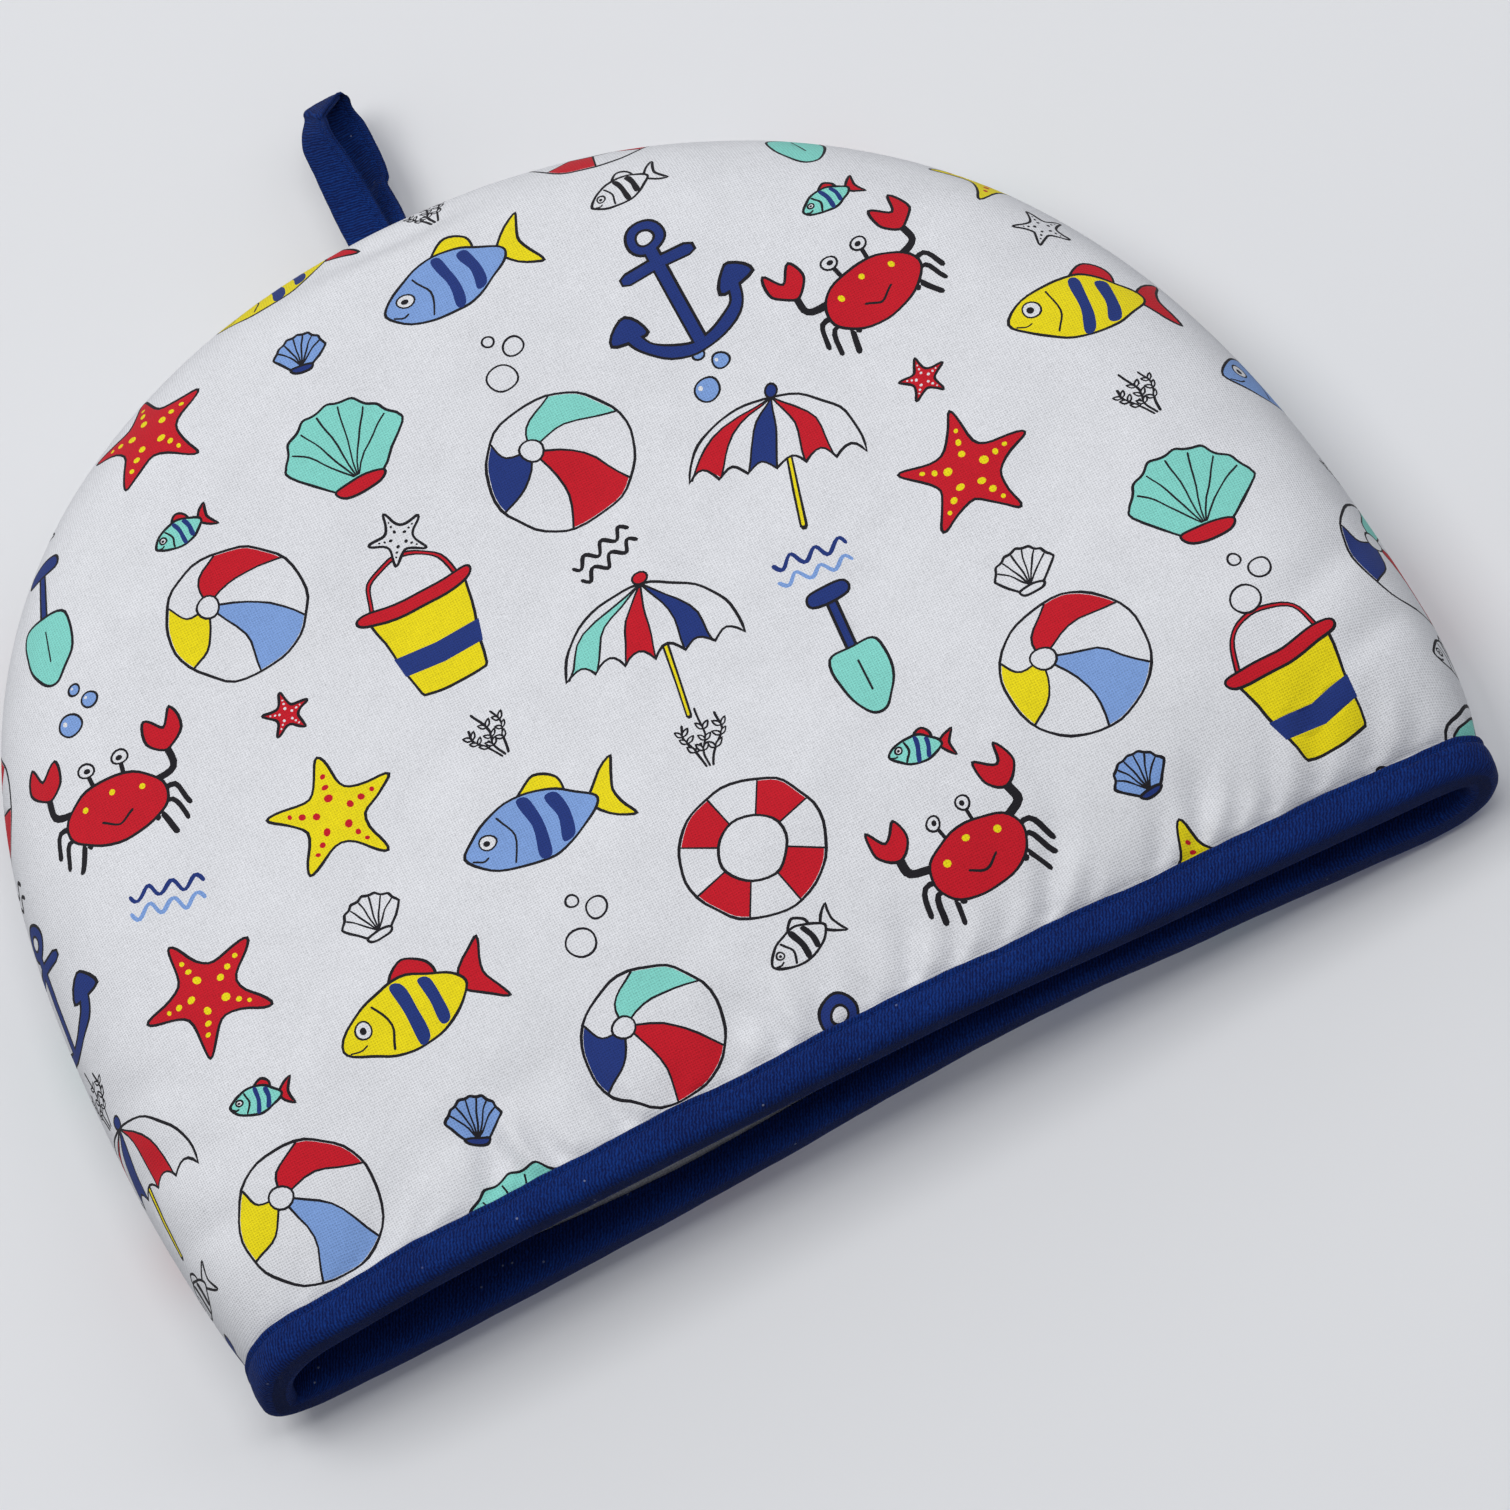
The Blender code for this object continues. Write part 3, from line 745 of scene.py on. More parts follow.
LARGE = (
    # motif, inks
    (parasol, ("red", "navy", "red")),
    (fish, ("blue", "yellow", "navy")),
    (beach_ball, ("red", "yellow", "blue")),
    (anchor, ("navy",)),
    (bucket, ("yellow", "red", "navy")),
    (starfish, ("red", "yellow")),
    (life_ring, ("red",)),
    (shell, ("mint", "red")),
    (crab, ("red", "yellow")),
    (parasol, ("mint", "red", "navy")),
    (fish, ("yellow", "red", "navy")),
    (spade, ("mint", "navy")),
    (beach_ball, ("mint", "navy", "red")),
    (starfish, ("yellow", "red")),
)
LARGE_SIZE = 1.2
SMALL = (
    # motif, inks, size
    (bubbles, ("cloth",), 1.15),
    (waves, ("navy", "blue"), 1.05),
    (starfish, ("cloth", "outline"), 0.52),
    (fish, ("cloth", "cloth", "outline"), 0.56),
    (shell, ("cloth", "cloth"), 0.56),
    (waves, ("outline", "outline"), 0.95),
    (fish, ("mint", "red", "navy"), 0.46),
    (seaweed, ("outline",), 0.8),
    (bubbles, ("blue",), 1.0),
    (shell, ("blue", "navy"), 0.5),
    (seaweed, ("outline",), 0.9),
    (starfish, ("red", "cloth"), 0.42),
)
COLUMN, ROW = 46, 62
# How far a motif strays from its place: x, z, turn in degrees, and for the large ones the size.
LARGE_STRAY, SMALL_STRAY = (2.6, 2.6, 14, 0.05), (2, 1.2, 18)


def seaside_print(seed, left, low, right, high):
    """A tossed layout: large motifs in columns dropped by half a row, and small ones between."""
    pen = Print(seed)
    for c in range(int(left // COLUMN) - 1, int(right // COLUMN) + 2):
        for r in range(int(low // ROW) - 1, int(high // ROW) + 2):
            x, z = c * COLUMN + 0.4 * seed, (r + 0.5 * (c % 2)) * ROW
            dx, dz, turn, more = pen.random.uniform(-1, 1, 4) * LARGE_STRAY
            motif, inks = LARGE[(5 * c + 3 * r + seed) % len(LARGE)]
            pen.place(x + dx, z + dz, turn, LARGE_SIZE + more)
            motif(pen, inks)
            motif, inks, size = SMALL[(3 * c + 7 * r + seed) % len(SMALL)]
            dx, dz, turn = pen.random.uniform(-1, 1, 3) * SMALL_STRAY
            pen.place(x + dx, z + 0.5 * ROW + dz, turn, size)
            motif(pen, inks)
    return pen.shapes


def inside(points, outline):
    """Which points lie inside a closed outline."""
    found = np.zeros(len(points), dtype=bool)
    low, high = outline.min(axis=0), outline.max(axis=0)
    near = np.nonzero(((points >= low) & (points <= high)).all(axis=1))[0]
    (ax, az), (bx, bz) = outline.T, np.roll(outline, -1, axis=0).T
    for first in range(0, len(near), AT_ONCE):
        pick = near[first:first + AT_ONCE]
        x, z = points[pick, 0, None], points[pick, 1, None]
        with np.errstate(divide="ignore", invalid="ignore"):
            at = ax + (z - az) * (bx - ax) / (bz - az)
        found[pick] = (((az > z) != (bz > z)) & (x < at)).sum(axis=1) % 2 == 1
    return found


def divided(outline, extra_points, shapes):
    """Triangles of the cloth inside its outline, with every shape's edge among their edges."""
    points, edges, count = [], [], 0
    for closed in [outline] + [shape for shape, _ in shapes]:
        points.append(closed)
        edges += [(count + i, count + (i + 1) % len(closed)) for i in range(len(closed))]
        count += len(closed)
    points.append(extra_points)
    given = [Vector((float(x), float(z))) for x, z in np.concatenate(points)]
    verts, _, faces, *_ = delaunay_2d_cdt(given, edges, [], 0, 0.01)
    verts, faces = np.array([tuple(v) for v in verts]), np.array([f for f in faces if len(f) == 3])
    faces = faces[inside(verts[faces].mean(axis=1), outline)]
    used, faces = np.unique(faces, return_inverse=True)
    return verts[used], faces.reshape(-1, 3)


def rim_of(faces):
    """The closed rim of a sheet of triangles, in order, with the sheet on its left."""
    ends = np.concatenate([faces[:, [0, 1]], faces[:, [1, 2]], faces[:, [2, 0]]]).tolist()
    have = set(map(tuple, ends))
    after = {a: b for a, b in ends if (b, a) not in have}
    rim = [next(iter(after))]
    for _ in range(len(after) - 1):
        rim.append(after[rim[-1]])
    if after[rim[-1]] != rim[0] or len(set(rim)) != len(after):
        raise ValueError("the cloth's rim isn't one line")
    return np.array(rim)


def spread_points(outline, bands, margin, random):
    """Points over the cloth, at the pitch that each band names, a little unevenly placed."""
    low, high = outline.min(axis=0), outline.max(axis=0)
    found = []
    for pitch, covers in bands:
        for index, z in enumerate(np.arange(low[1], high[1], pitch * 0.87)):
            x = np.arange(low[0] + (0.5 * pitch if index % 2 else 0), high[0], pitch)
            row = np.stack([x, np.full_like(x, z)], axis=-1)
            found.append(row[covers(row[:, 1])] + random.uniform(-0.1, 0.1, 2) * pitch)
    found = np.concatenate(found)
    found = found[inside(found, outline)]
    keep = np.ones(len(found), dtype=bool)
    for first in range(0, len(found), AT_ONCE):
        part = found[first:first + AT_ONCE]
        away = np.hypot(part[:, None, 0] - outline[:, 0], part[:, None, 1] - outline[:, 1]).min(axis=1)
        keep[first:first + AT_ONCE] = away > margin
    return found[keep]


def apart_from(points, others, reach):
    """The points that have none of the others within reach."""
    taken = set()
    for x, z in np.floor(others / reach).astype(int):
        taken.update((x + i, z + j) for i in (-1, 0, 1) for j in (-1, 0, 1))
    cells = np.floor(points / reach).astype(int)
    return points[[tuple(cell) not in taken for cell in cells.tolist()]]


EDGE_PITCH, INNER_PITCH, INNER_MARGIN = 2.2, 9, 4
PRINT_MARGIN = 4            # shapes further than this outside the cloth are left out
FROM_PATTERN = 0.45         # no other point of the cloth lies nearer to a printed edge


def make_panel(name, side, seed, pitch, fine_pitch, fine_below):
    """One padded panel of printed cloth, closed by its inner face."""
    face = Face(side)
    outline = np.concatenate(face.flat_edge(EDGE_PITCH))
    random = np.random.default_rng(seed)
    shapes = seaside_print(seed, *outline.min(axis=0), *outline.max(axis=0))
    low, high = outline.min(axis=0) - PRINT_MARGIN, outline.max(axis=0) + PRINT_MARGIN
    shapes = [s for s in shapes if (s[0].max(axis=0) > low).all() and (s[0].min(axis=0) < high).all()]
    bands = ((fine_pitch, lambda z: z < fine_below), (pitch, lambda z: z >= fine_below))
    extra = spread_points(outline, bands, 0.7 * fine_pitch, random)
    extra = apart_from(extra, np.concatenate([shape for shape, _ in shapes]), FROM_PATTERN)
    flat, faces = divided(outline, extra, shapes)
    rim = rim_of(faces)
    x, z, distance, _ = face.lay(flat)
    outer = face.outer(x, z, distance)

    within = spread_points(flat[rim], ((INNER_PITCH, np.isfinite),), INNER_MARGIN, random)
    coarse, inner_faces = divided(flat[rim], within, [])
    inner = face.inner(*face.lay(coarse))
    match = {tuple(np.round(p, 5)): i for i, p in enumerate(coarse)}
    inner_rim = np.array([match[tuple(np.round(p, 5))] for p in flat[rim]]) + len(outer)
    rim_next, inner_next = np.roll(rim, -1), np.roll(inner_rim, -1)
    all_faces = np.concatenate([faces, inner_faces[:, ::-1] + len(outer),
                                np.stack([rim_next, rim, inner_rim], axis=-1),
                                np.stack([rim_next, inner_rim, inner_next], axis=-1)])
    obj = piece_of(name, np.concatenate([outer, inner]), all_faces[:, ::-1] if side > 0 else all_faces,
                   "printed_cotton", np.concatenate([flat, coarse]))

    inks = np.tile(INKS["cloth"], (len(all_faces), 1))
    centres = flat[faces].mean(axis=1)
    for shape, ink in shapes:
        inks[:len(faces)][inside(centres, shape)] = INKS[ink]
    values = np.ones((len(all_faces), 3, 4), dtype=np.float32)
    values[..., :3] = inks[:, None, :]
    obj.data.attributes.new("print", "FLOAT_COLOR", "CORNER").data.foreach_set("color", values.ravel())
    return obj


# ---------------------------------------------------------------- materials

def add_node(tree, kind, inputs=None, **settings):
    """A node with its settings, and with its inputs joined to sockets or set to values."""
    node = tree.nodes.new(kind)
    for key, value in settings.items():
        setattr(node, key, value)
    for key, value in (inputs or {}).items():
        if isinstance(value, bpy.types.NodeSocket):
            tree.links.new(value, node.inputs[key])
        else:
            node.inputs[key].default_value = value
    return node


class Nodes:
    """A material's nodes, added and joined by name."""

    def __init__(self, name, roughness, specular=0.5, sheen=0.0, sheen_roughness=0.5):
        self.material = bpy.data.materials.new(name)
        self.material.use_nodes = True
        self.tree = self.material.node_tree
        self.shader = self.tree.nodes["Principled BSDF"]
        for socket, value in (("Roughness", roughness), ("Metallic", 0.0), ("Sheen Weight", sheen),
                              ("Sheen Roughness", sheen_roughness), ("Specular IOR Level", specular)):
            self.shader.inputs[socket].default_value = value

    def add(self, kind, inputs=None, **settings):
        return add_node(self.tree, kind, inputs, **settings)

    def maths(self, operation, first, second):
        return self.add("ShaderNodeMath", {0: first, 1: second}, operation=operation).outputs[0]

    def total(self, first, *others):
        for other in others:
            first = self.maths("ADD", first, other)
        return first

    def ramp(self, value, low, high, to_low, to_high):
        return self.add("ShaderNodeMapRange", {"Value": value, "From Min": low, "From Max": high,
                                               "To Min": to_low, "To Max": to_high}).outputs["Result"]

    def object_place(self):
        return self.add("ShaderNodeTexCoord").outputs["Object"]

    def cloth_place(self, **mapping):
        """The cloth's own coordinates, in centimetres, turned or stretched."""
        place = self.add("ShaderNodeUVMap", uv_map="cloth").outputs["UV"]
        return self.add("ShaderNodeMapping", {"Vector": place, **mapping}).outputs[0] if mapping else place

    def noise(self, place, scale, detail=2.0, rough=0.5):
        return self.add("ShaderNodeTexNoise", {"Vector": place, "Scale": scale, "Detail": detail,
                                               "Roughness": rough}).outputs["Fac"]

    def cells(self, place, scale):
        return self.add("ShaderNodeTexVoronoi", {"Vector": place, "Scale": scale, "Randomness": 1.0})

    def threads(self, place, pitch, direction, distortion=1.2):
        """Bands across the cloth's own coordinates."""
        return self.add("ShaderNodeTexWave", {"Vector": place, "Scale": math.pi / pitch,
                                              "Distortion": distortion, "Detail": 1.0,
                                              "Detail Scale": 2.0}, wave_type="BANDS",
                        bands_direction=direction, wave_profile="SIN").outputs["Fac"]

    def scaled(self, colour, by):
        """A colour with its brightness multiplied by a value."""
        return self.add("ShaderNodeVectorMath", {0: colour, "Scale": by}, operation="SCALE").outputs[0]

    def blend(self, share, first, second):
        return self.add("ShaderNodeMix", {0: share, 6: first, 7: second}, data_type="RGBA").outputs[2]

    def bump(self, height, distance, strength, under=None):
        inputs = {"Height": height, "Distance": distance, "Strength": strength}
        return self.add("ShaderNodeBump", {**inputs, "Normal": under} if under else inputs).outputs["Normal"]

    def finish(self, colour, normal):
        self.tree.links.new(colour, self.shader.inputs["Base Color"])
        self.tree.links.new(normal, self.shader.inputs["Normal"])
        return self.material


def cotton(name, colour=None, pitch=0.72, grain=0.10):
    """Plain weave: two sets of threads, slightly uneven, with slubs, painted shade in the gaps between
    threads and small darker specks painted as the shade of pits, printed or of one colour.
    """
    n = Nodes(name, 0.88, 0.25, 0.06, 0.6)
    place, cloth = n.object_place(), n.cloth_place()
    weave = n.maths("MAXIMUM", n.threads(cloth, pitch, "X"), n.threads(cloth, pitch, "Y"))
    fine, cloudy = n.noise(place, 1500.0, 2.0, 0.7), n.noise(place, 90.0, 3.0, 0.6)
    # Painted shade: the weave's gaps, which are low in the bump, are darkened, and so are small pits; the
    # fine and cloudy noise vary the colour at random.
    value = n.total(n.ramp(fine, 0.25, 0.75, 1 - grain, 1 + 0.6 * grain),
                    n.ramp(cloudy, 0.3, 0.7, -0.025, 0.025),
                    n.ramp(weave, 0.3, 1.0, -0.16, 0.04),
                    n.ramp(n.cells(place, 620.0).outputs["Distance"], 0.05, 0.25, -0.09, 0.0))
    base = colour or n.add("ShaderNodeAttribute", attribute_name="print").outputs["Color"]
    height = n.total(weave, n.maths("MULTIPLY", fine, 0.9))
    return n.finish(n.scaled(base, value), n.bump(height, 0.00012, 0.8, n.bump(cloudy, 0.0004, 0.35)))


def ribbed(name, dark, light, rib=0.85):
    """The binding's strip: fine ribs that run across it, their crests painted lighter and their grooves
    darker as painted highlight and shade, with random streaks and specks of lint.
    """
    n = Nodes(name, 0.82, 0.12, 0.03, 0.5)
    place, slanted = n.object_place(), n.cloth_place(Rotation=(0, 0, 0.42))
    ribs, cross = n.threads(slanted, rib, "X", 4.0), n.threads(slanted, 1.1, "Y", 3.0)
    fine, broad = n.noise(place, 1700.0, 2.0, 0.7), n.noise(place, 60.0, 3.0, 0.55)
    streaks = n.noise(n.cloth_place(Scale=(9, 1.2, 1)), 2.2, 2.0, 0.6)
    # Painted light: the ribs' crests, raised in the bump, are painted lighter and their grooves darker; the
    # noise and streak terms vary the colour at random.
    noise_and_rib_shade = n.total(n.ramp(ribs, 0.1, 0.9, -0.05, 0.60), n.ramp(fine, 0.3, 0.7, -0.24, 0.34),
                   n.ramp(broad, 0.3, 0.7, -0.10, 0.14), n.ramp(streaks, 0.35, 0.7, -0.08, 0.22))
    noise_and_rib_shade = n.add("ShaderNodeClamp", {"Value": noise_and_rib_shade}).outputs[0]
    speck = n.cells(place, 420.0).outputs
    chosen = n.add("ShaderNodeSeparateColor", {"Color": speck["Color"]}).outputs[0]
    lint = n.maths("MULTIPLY", n.ramp(speck["Distance"], 0.10, 0.16, 1.0, 0.0),
                   n.ramp(chosen, 0.965, 0.975, 0.0, 0.5))
    colour = n.blend(lint, n.blend(noise_and_rib_shade, (*dark, 1), (*light, 1)), (0.36, 0.40, 0.55, 1))
    height = n.total(ribs, n.maths("MULTIPLY", cross, 0.4), n.maths("MULTIPLY", fine, 0.8))
    return n.finish(colour, n.bump(height, 0.00016, 0.9, n.bump(broad, 0.0005, 0.4)))


def thread(name, colour):
    """Twisted sewing thread."""
    n = Nodes(name, 0.7, 0.12)
    fine = n.noise(n.object_place(), 2600.0, 1.0, 0.5)
    return n.finish(n.scaled(colour, n.ramp(fine, 0.3, 0.7, 0.7, 1.35)), n.bump(fine, 0.00008, 0.7))


MATERIALS = {
    "printed_cotton": cotton("printed_cotton"),
    "lining_cotton": cotton("lining_cotton", (0.84, 0.85, 0.88), 0.8, 0.12),
    "blue_binding": ribbed("blue_binding", (0.0012, 0.0064, 0.062), (0.0038, 0.0350, 0.215)),
    "blue_loop": ribbed("blue_loop", (0.0013, 0.0080, 0.068), (0.0036, 0.0375, 0.212), rib=0.7),
    "blue_thread": thread("blue_thread", (0.0040, 0.0260, 0.160)),
}


# ---------------------------------------------------------------- stitches

def stitch_tree():
    """Stitches along a line: inputs are named, and the tree ends in plain faces with a material."""
    tree = bpy.data.node_groups.new("stitches", "GeometryNodeTree")
    for label, kind in (("Line", "Geometry"), ("Pitch", "Float"), ("Stitch length", "Float"),
                        ("Thread width", "Float"), ("Seed", "Int"), ("Thread", "Material")):
        tree.interface.new_socket(label, in_out="INPUT", socket_type=f"NodeSocket{kind}")
    tree.interface.new_socket("Stitches", in_out="OUTPUT", socket_type="NodeSocketGeometry")

    def made(kind, inputs=None, **settings):
        return add_node(tree, kind, inputs, **settings).outputs[0]

    entry = add_node(tree, "NodeGroupInput").outputs
    curve = made("GeometryNodeMeshToCurve", {"Mesh": entry["Line"]})
    points = made("GeometryNodeResampleCurve", {"Curve": curve, "Length": entry["Pitch"]}, mode="LENGTH")
    ahead = made("FunctionNodeAlignRotationToVector", {"Vector": made("GeometryNodeInputTangent")},
                 axis="X")
    swing = made("FunctionNodeRandomValue", {"Min": (-0.05, -0.07, -0.07), "Max": (0.05, 0.07, 0.07),
                                             "Seed": entry["Seed"]}, data_type="FLOAT_VECTOR")
    turn = made("FunctionNodeEulerToRotation", {"Euler": swing})
    way = made("FunctionNodeRotateRotation", {"Rotation": ahead, "Rotate By": turn},
               rotation_space="LOCAL")
    ball = made("GeometryNodeMeshUVSphere", {"Segments": 8, "Rings": 6, "Radius": 0.5})
    size = made("ShaderNodeCombineXYZ", {"X": entry["Stitch length"], "Y": entry["Thread width"],
                                         "Z": entry["Thread width"]})
    stitch = made("GeometryNodeTransform", {"Geometry": ball, "Scale": size})
    placed = made("GeometryNodeInstanceOnPoints", {"Points": points, "Instance": stitch, "Rotation": way})
    real = made("GeometryNodeRealizeInstances", {"Geometry": placed})
    smooth = made("GeometryNodeSetShadeSmooth", {"Geometry": real})
    dyed = made("GeometryNodeSetMaterial", {"Geometry": smooth, "Material": entry["Thread"]})
    add_node(tree, "NodeGroupOutput", {"Stitches": dyed})
    return tree


STITCHES = stitch_tree()


def sew(name, line, pitch, length, width, seed, closed=False):
    """A row of stitches along a line of points in millimetres."""
    edges = [(i, i + 1) for i in range(len(line) - 1)] + ([(len(line) - 1, 0)] if closed else [])
    guide = add_object(name + "_line", mesh_of(name + "_line", line, edges))
    modifier = guide.modifiers.new("stitches", "NODES")
    modifier.node_group = STITCHES
    values = {"Pitch": pitch * METRES_PER_MM, "Stitch length": length * METRES_PER_MM,
              "Thread width": width * METRES_PER_MM, "Seed": seed, "Thread": MATERIALS["blue_thread"]}
    for item in STITCHES.interface.items_tree:
        if item.in_out == "INPUT" and item.name in values:
            modifier[item.identifier] = values[item.name]
    bpy.context.view_layer.update()
    graph = bpy.context.evaluated_depsgraph_get()
    made = bpy.data.meshes.new_from_object(guide.evaluated_get(graph))
    made.name = name
    bpy.data.objects.remove(guide)
    return add_object(name, made)


# ---------------------------------------------------------------- lining

SPINE = 106                 # half the length of the middle line that the lining's rows run to
LINING_ACROSS, LINING_STEPS = 121, 34


def lining_side(side, inset_at):
    """One side of an inner layer: rows of points from the edge down to the hem."""
    foot = SKIRT_TOP + inset_at(0)
    edge_x, edge_z = edge_line(inset_at, LINING_ACROSS)
    share = 0.5 - 0.5 * np.cos(np.linspace(0, math.pi, LINING_STEPS))
    x = edge_x[:, None] + (np.linspace(-SPINE, SPINE, LINING_ACROSS) - edge_x)[:, None] * share
    z = edge_z[:, None] + (foot - edge_z)[:, None] * share
    inset = inset_at(z)
    line = EdgeLine(edge_x, edge_z)
    distance = -line.nearest(np.stack([x, z], axis=-1).reshape(-1, 2))[2].reshape(x.shape)
    distance[:, 0] = 0
    width = edge_width(side, z, foot) - EDGE_TIGHTER * inset
    y = SEAM_Y + side * (cloth_depth(side, x, z, foot) - inset) * rounded(distance / width, EDGE_POWER)
    return np.stack([x, y, z], axis=-1)


def hem_line(grid):
    return np.concatenate([grid[0], grid[1:-1, -1], grid[-1, ::-1]])


def all_round(front, back):
    return np.concatenate([front, back[-2:0:-1]])


def make_lining():
    """A thin bag inside the padding."""
    bag, feet = Shell(), []
    for gap, flip in ((GAP, False), (GAP + LINING_THICK, True)):
        grids = [lining_side(side, inside_padding(gap)) for side in (-1, 1)]
        front = bag.add(grids[0])
        back = np.concatenate([front[:, :1], bag.add(grids[1][:, 1:])], axis=1)
        bag.bands(front, flip)
        bag.bands(back, not flip)
        low = all_round(*map(hem_line, grids)).copy()
        low[:, 2] = LINING_FOOT
        feet.append(bag.add(low))
        bag.ring(all_round(hem_line(front), hem_line(back)), feet[-1], flip)
    bag.ring(*feet)
    return bag.piece("lining_bag", "lining_cotton")


# ---------------------------------------------------------------- hem binding

BINDING_WEB, BINDING_OUTSIDE, BINDING_INSIDE = 2, 10.4, 8.6
INSIDE_EXTRA, DEEPER_FROM, DEEPER_OVER = 6, -50, 104
BINDING_BACK = 6.3          # inset of the side that lies against the lining
BINDING_ROUND = 3
RING_STEPS, RING_CROWDING = 640, 0.32   # points round the hem, and how far they crowd to its ends
GROOVE_DOWN, GROOVE_IN = 1.8, 0.4
WAVES = (
    # length along the hem, phase, height of the top edge, depth of the face
    (61, 0.5, 0.22, 0.10),
    (37, 2.1, 0.14, 0.12),
    (19, 4.4, 0.10, 0.07),
    (8.7, 1.2, 0.04, 0.05),
)


def hem_ring(inset):
    """The hem's line at an inset, once round: the front from left to right, then the back."""
    half = HEM_HALF_WIDTH - inset
    turn = np.linspace(0, math.pi, RING_STEPS // 2 + 1)
    x = -half * np.cos(turn - RING_CROWDING * np.sin(2 * turn))
    share = rounded((half - np.abs(x)) / (HEM_EDGE - EDGE_TIGHTER * inset), EDGE_POWER)
    return all_round(*(np.stack([x, SEAM_Y + side * (hem_depth(side, x) - inset) * share, 0 * x], axis=-1)
                       for side in (-1, 1)))


def make_binding():
    """The strip that wraps the raw edges, with a rolled upper lip and a stitched groove."""
    out, out_back, in_back, inner = (
        hem_ring(inset) for inset in (-GAP - BINDING_OUT, -GAP, BINDING_BACK, BINDING_BACK + BINDING_OUT))
    across = (inner - out) / lengths(inner - out)
    run = travelled(out)
    high, depth = np.full(len(run), BINDING_OUTSIDE), np.zeros(len(run))
    for length, phase, lift, dent in WAVES:
        turn = 2 * math.pi * run / (run[-1] / round(run[-1] / length)) + phase
        high += lift * np.sin(turn)
        depth += dent * np.cos(turn + phase)
    deep = BINDING_INSIDE + INSIDE_EXTRA * eased((DEEPER_FROM - out[:, 0]) / DEEPER_OVER)
    r = BINDING_ROUND
    bend = [cos_sin(angle) for angle in np.linspace(0, 90, 6)]
    section = [
        # line, step across from it, height; up the outside, round its lip and down behind it,
        # then up behind the inside, round its top and down to the underside
        *[(out, r * (1 - c) - 0.10 * c, r * (1 - s)) for c, s in bend[::-1]],
        (out, -0.22, 4.2),
        (out, -0.30, 5.4),
        (out, -0.26, 6.6),
        (out, -0.12, 7.6),
        (out, 0.12, high - 2.35),
        (out, 0.55, high - GROOVE_DOWN),
        (out, 0.30, high - 1.35),
        (out, -0.10, high - 0.85),
        (out, 0.02, high - 0.35),
        (out, 0.34, high - 0.05),
        (out, 0.80, high + 0.04),
        (out_back, -0.12, high - 0.18),
        (out_back, 0, high - 0.7),
        (out_back, 0, 0.5 * (high + BINDING_WEB)),
        (out_back, 0, BINDING_WEB),
        (in_back, 0, BINDING_WEB),
        (in_back, 0, 0.5 * (deep + BINDING_WEB)),
        (in_back, 0, deep - 0.6),
        (in_back, 0.14, deep - 0.1),
        (inner, -0.7, deep + 0.05),
        (inner, -0.2, deep - 0.15),
        (inner, 0, deep - 0.7),
        (inner, -0.26, deep - 1.7),
        (inner, 0.06, deep - 2.7),
        (inner, 0.08, 0.5 * (deep + r)),
        *[(inner, -r * (1 - c), r * (1 - s)) for c, s in bend[1:]],
    ]
    strip, rows, around, before = Shell(), [], 0 * run, None
    for line, step, height in section:
        row = line + across * (step + (depth if line is out else 0 * depth))[:, None]
        row[:, 2] = height
        if before is not None:
            around = around + np.linalg.norm(row - before, axis=1)
        before = row
        rows.append(strip.add(row, np.stack([run, around], axis=-1)))
    for first, second in zip(rows, rows[1:] + rows[:1]):
        strip.ring(first, second)
    groove = out + across * (GROOVE_IN + depth)[:, None]
    groove[:, 2] = high - GROOVE_DOWN
    return strip.piece("binding_strip", "blue_binding"), groove, run[-1]


# ---------------------------------------------------------------- hanging loop

LOOP_WIDTH, LOOP_THICK = 12.6, 1.9
LOOP_ROUTE = (
    # x from the loop's middle, y from the seam, height above the foot, turn and lean in degrees
    (-1.2, -1.4, 0, -14, -8),
    (-1.4, -2.8, 11, -18, -12),
    (-1.5, -5.4, 22, -30, -18),
    (-1.8, -7, 32.5, -44, -24),
    (0.2, -6.2, 38.8, -62, -38),
    (1.2, -5.4, 41.2, -68, -41),
    (8.2, 0.8, 46.2, -84, -28),
    (4.3, 3.4, 43.2, -20, -8),
    (5.3, 5.6, 37.4, -24, -2),
    (5.8, 6.8, 28.6, -33, 0),
    (5.2, 6.5, 20.4, -34, 0),
    (3.8, 5.6, 17, -34, 0),
    (3.6, 3.4, 8, -22, 0),
    (2.4, 1.4, 0, -8, 0),
)
LOOP_X, LOOP_FOOT, LOOP_STEPS = -14.6, 282.3, 150
LOOP_ROOT = 3.4             # the strip goes on this far down into the seam
LOOP_SEAM = 1.95            # its seam lies this far in from the open edges


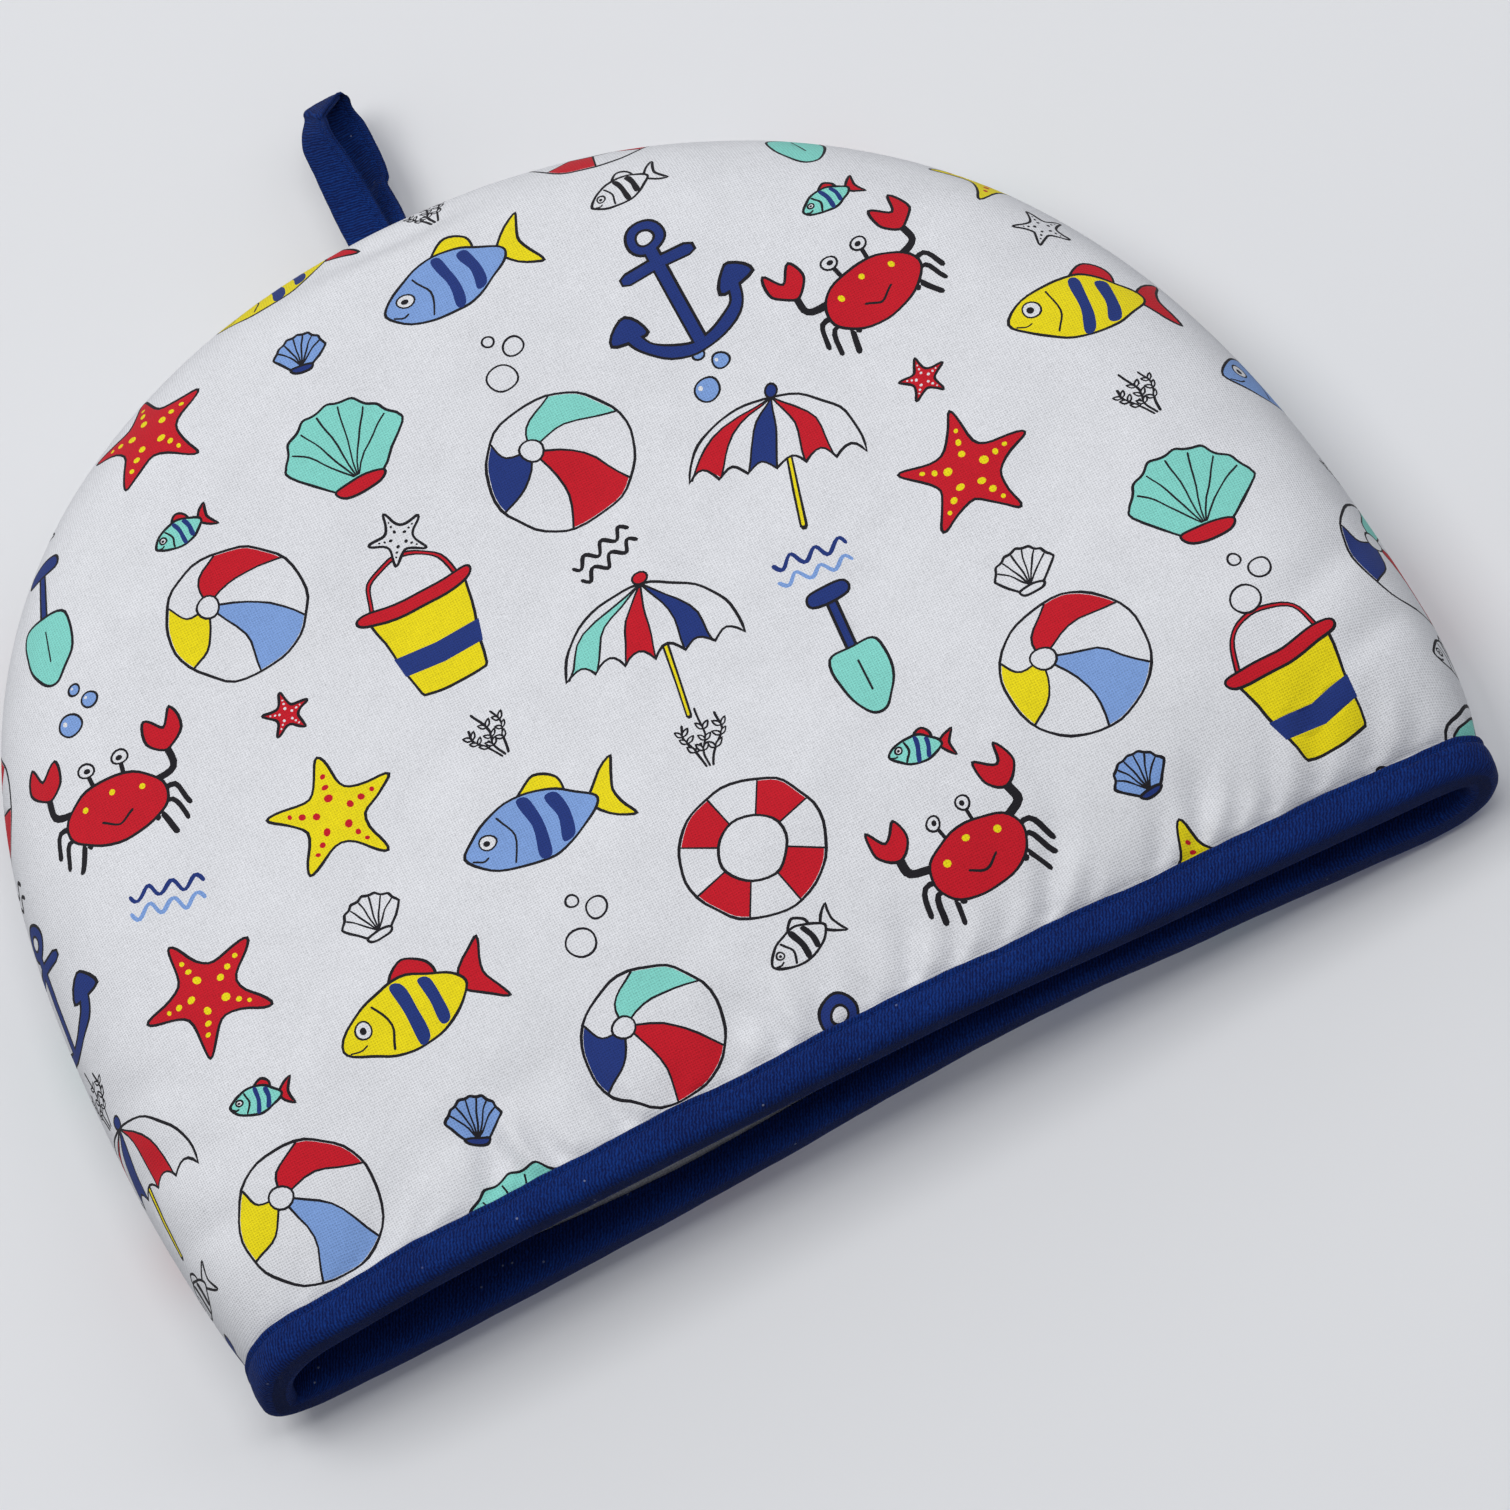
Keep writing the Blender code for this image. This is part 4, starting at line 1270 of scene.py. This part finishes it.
def make_loop():
    """A strip folded along its length, its open side stitched, bent into a loop."""
    route = smooth_line(LOOP_ROUTE, LOOP_STEPS)
    root, half_root = (0, 0, LOOP_ROOT, 0, 0), (0, 0, 0.5 * LOOP_ROOT, 0, 0)
    route = np.concatenate([[route[0] - root, route[0] - half_root], route,
                            [route[-1] - half_root, route[-1] - root]])
    path = route[:, :3] + (LOOP_X, SEAM_Y, LOOP_FOOT)
    turn, lean = np.radians(route[:, 3]), np.radians(route[:, 4])
    along = np.gradient(path, axis=0)
    along[:3], along[-3:] = (0, 0, 1), (0, 0, -1)
    wide = np.stack([np.cos(turn) * np.cos(lean), np.sin(turn) * np.cos(lean), np.sin(lean)], axis=-1)
    thick = np.cross(along, wide)
    thick /= lengths(thick)
    run = travelled(path)
    w, t = 0.5 * LOOP_WIDTH, 0.5 * LOOP_THICK
    half = (
        # across the strip, through it: the fold is on the left, the stitched open edges on the right
        (-w, 0), (-w + 0.16, 0.55), (-w + 0.55, 0.86), (-w + 1.4, 0.98), (-w + 3.4, 1), (0, 0.97),
        (w - 3.4, 0.99), (w - 2.5, 0.92), (w - LOOP_SEAM, 0.66), (w - 1.4, 0.92), (w - 0.7, 0.94),
        (w - 0.2, 0.74), (w, 0.42), (w - 0.25, 0.10), (w - 0.55, 0),
    )
    section = half + tuple((u, -v) for u, v in half[-2:0:-1])
    ripple = 0.10 * np.sin(run * 0.55 + 1) + 0.06 * np.sin(run * 1.3)
    strip = Shell()
    rows = [strip.add([centre + a * u + b * (v * t + wave * math.cos(u * 0.4)) for u, v in section],
                      [(far, k * 0.9) for k in range(len(section))])
            for centre, a, b, wave, far in zip(path, wide, thick, ripple, run)]
    for first, second in zip(rows[:-1], rows[1:]):
        strip.ring(first, second)
    strip.faces += [tuple(rows[0]), tuple(rows[-1])[::-1]]
    seams = [path[3:-3] + wide[3:-3] * (w - LOOP_SEAM) + thick[3:-3] * (side * (0.66 * t + 0.12))
             for side in (-1, 1)]
    return strip.piece("loop_strip", "blue_loop"), seams, run[-1]


# ---------------------------------------------------------------- the part

front = make_panel("front_padded_panel", -1, seed=3, pitch=2.3, fine_pitch=1.25, fine_below=46)
back = make_panel("back_padded_panel", 1, seed=11, pitch=3, fine_pitch=2.2, fine_below=20)
lining = make_lining()
binding, groove, hem_length = make_binding()
loop, loop_seams, loop_length = make_loop()
binding_stitches = sew("binding_stitches", groove, pitch=2.6, length=1.9, width=0.42, seed=5, closed=True)
loop_stitches = [sew(f"loop_stitches_{index}", seam, pitch=2.4, length=1.7, width=0.36, seed=7 + index)
                 for index, seam in enumerate(loop_seams)]

for piece, node in ((front, "front_panel"), (back, "back_panel"), (lining, "lining"),
                    (binding, "hem_binding"), (loop, "hanging_loop")):
    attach(piece, "root")
    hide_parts(node)
for piece, slot in [(binding_stitches, "hem_binding")] + [(p, "hanging_loop") for p in loop_stitches]:
    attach(piece, "root")


# ---------------------------------------------------------------- surface, light and camera

def one_sided(name, colour):
    """Pale paper seen from its own side only, so that it hides nothing from behind."""
    n = Nodes(name, 0.95)
    n.shader.inputs["Base Color"].default_value = (*colour, 1)
    mix = n.add("ShaderNodeMixShader", {0: n.add("ShaderNodeNewGeometry").outputs["Backfacing"],
                                        1: n.shader.outputs[0],
                                        2: n.add("ShaderNodeBsdfTransparent").outputs[0]})
    n.tree.links.new(mix.outputs[0], n.tree.nodes["Material Output"].inputs["Surface"])
    return n.material


def stage_plane(name, corners, material):
    mesh = bpy.data.meshes.new(name)
    mesh.from_pydata(corners, [], [(0, 1, 2, 3)])
    mesh.materials.append(material)
    obj = add_object(name, mesh)
    for ray in ("diffuse", "glossy", "transmission", "shadow"):
        setattr(obj, "visible_" + ray, False)


PAPER = one_sided("pale_surface", (0.776, 0.783, 0.802))
WALL_Y, WALL_HALF, WALL_LOW, WALL_HIGH, FLOOR = 0.0275, 0.6, -0.5, 0.9, 4
stage_plane("surface_behind", [(-WALL_HALF, WALL_Y, WALL_LOW), (WALL_HALF, WALL_Y, WALL_LOW),
                               (WALL_HALF, WALL_Y, WALL_HIGH), (-WALL_HALF, WALL_Y, WALL_HIGH)], PAPER)
stage_plane("floor", [(-FLOOR, -FLOOR, 0), (FLOOR, -FLOOR, 0), (FLOOR, FLOOR, 0), (-FLOOR, FLOOR, 0)],
            PAPER)

ROLL, TILT, AWAY = 27.5, 27, 3
TARGET = Vector((0.0118, -0.0123, 0.0897))
roll_cos, roll_sin = cos_sin(ROLL)
tilt_cos, tilt_sin = cos_sin(TILT)
toward = Vector((0, tilt_cos, tilt_sin))
level = Vector((0, -tilt_sin, tilt_cos))


def facing(origin, x_axis, y_axis, z_axis):
    matrix = Matrix((x_axis, y_axis, z_axis)).transposed().to_4x4()
    matrix.translation = origin
    return matrix


camera = add_object("camera", bpy.data.cameras.new("camera"))
camera.data.sensor_width, camera.data.lens = 36, 286.1
camera.data.clip_start, camera.data.clip_end = 0.1, 50
camera.matrix_world = facing(TARGET - AWAY * toward, Vector((roll_cos, 0, 0)) - roll_sin * level,
                             Vector((roll_sin, 0, 0)) + roll_cos * level, -toward)
bpy.context.scene.camera = camera

LIGHTS = (
    # name, place from the target in metres, size, watts, colour
    ("window", (-1.05, -2.65, 0.62), 1.5, 35, (1, 0.995, 0.985)),
    ("room_front", (0.4, -2.9, -0.12), 1.2, 17.5, (0.99, 0.995, 1)),
    ("ceiling", (-0.3, -0.7, 2.5), 2, 9, (0.99, 0.995, 1)),
    ("room_left", (-1.9, -1, 0.5), 2, 2, (0.97, 0.98, 1)),
    ("room_right", (1.6, -1.6, 0.15), 1.6, 6, (0.97, 0.98, 1)),
    ("behind", (0.3, 2, 0.7), 2, 14, (0.98, 0.99, 1)),
)
for name, place, size, watts, colour in LIGHTS:
    light = bpy.data.lights.new(name, "AREA")
    light.size, light.energy, light.color = size, watts, colour
    lamp, z_axis = add_object(name, light), Vector(place).normalized()
    x_axis = Vector((0, 0, 1)).cross(z_axis).normalized()
    lamp.matrix_world = facing(TARGET + Vector(place), x_axis, z_axis.cross(x_axis), z_axis)

world = bpy.data.worlds.new("room")
world.use_nodes = True
room = world.node_tree.nodes["Background"].inputs
room["Color"].default_value, room["Strength"].default_value = (0.93, 0.95, 1, 1), 0.30
bpy.context.scene.world = world
bpy.context.scene.view_settings.view_transform = "Standard"
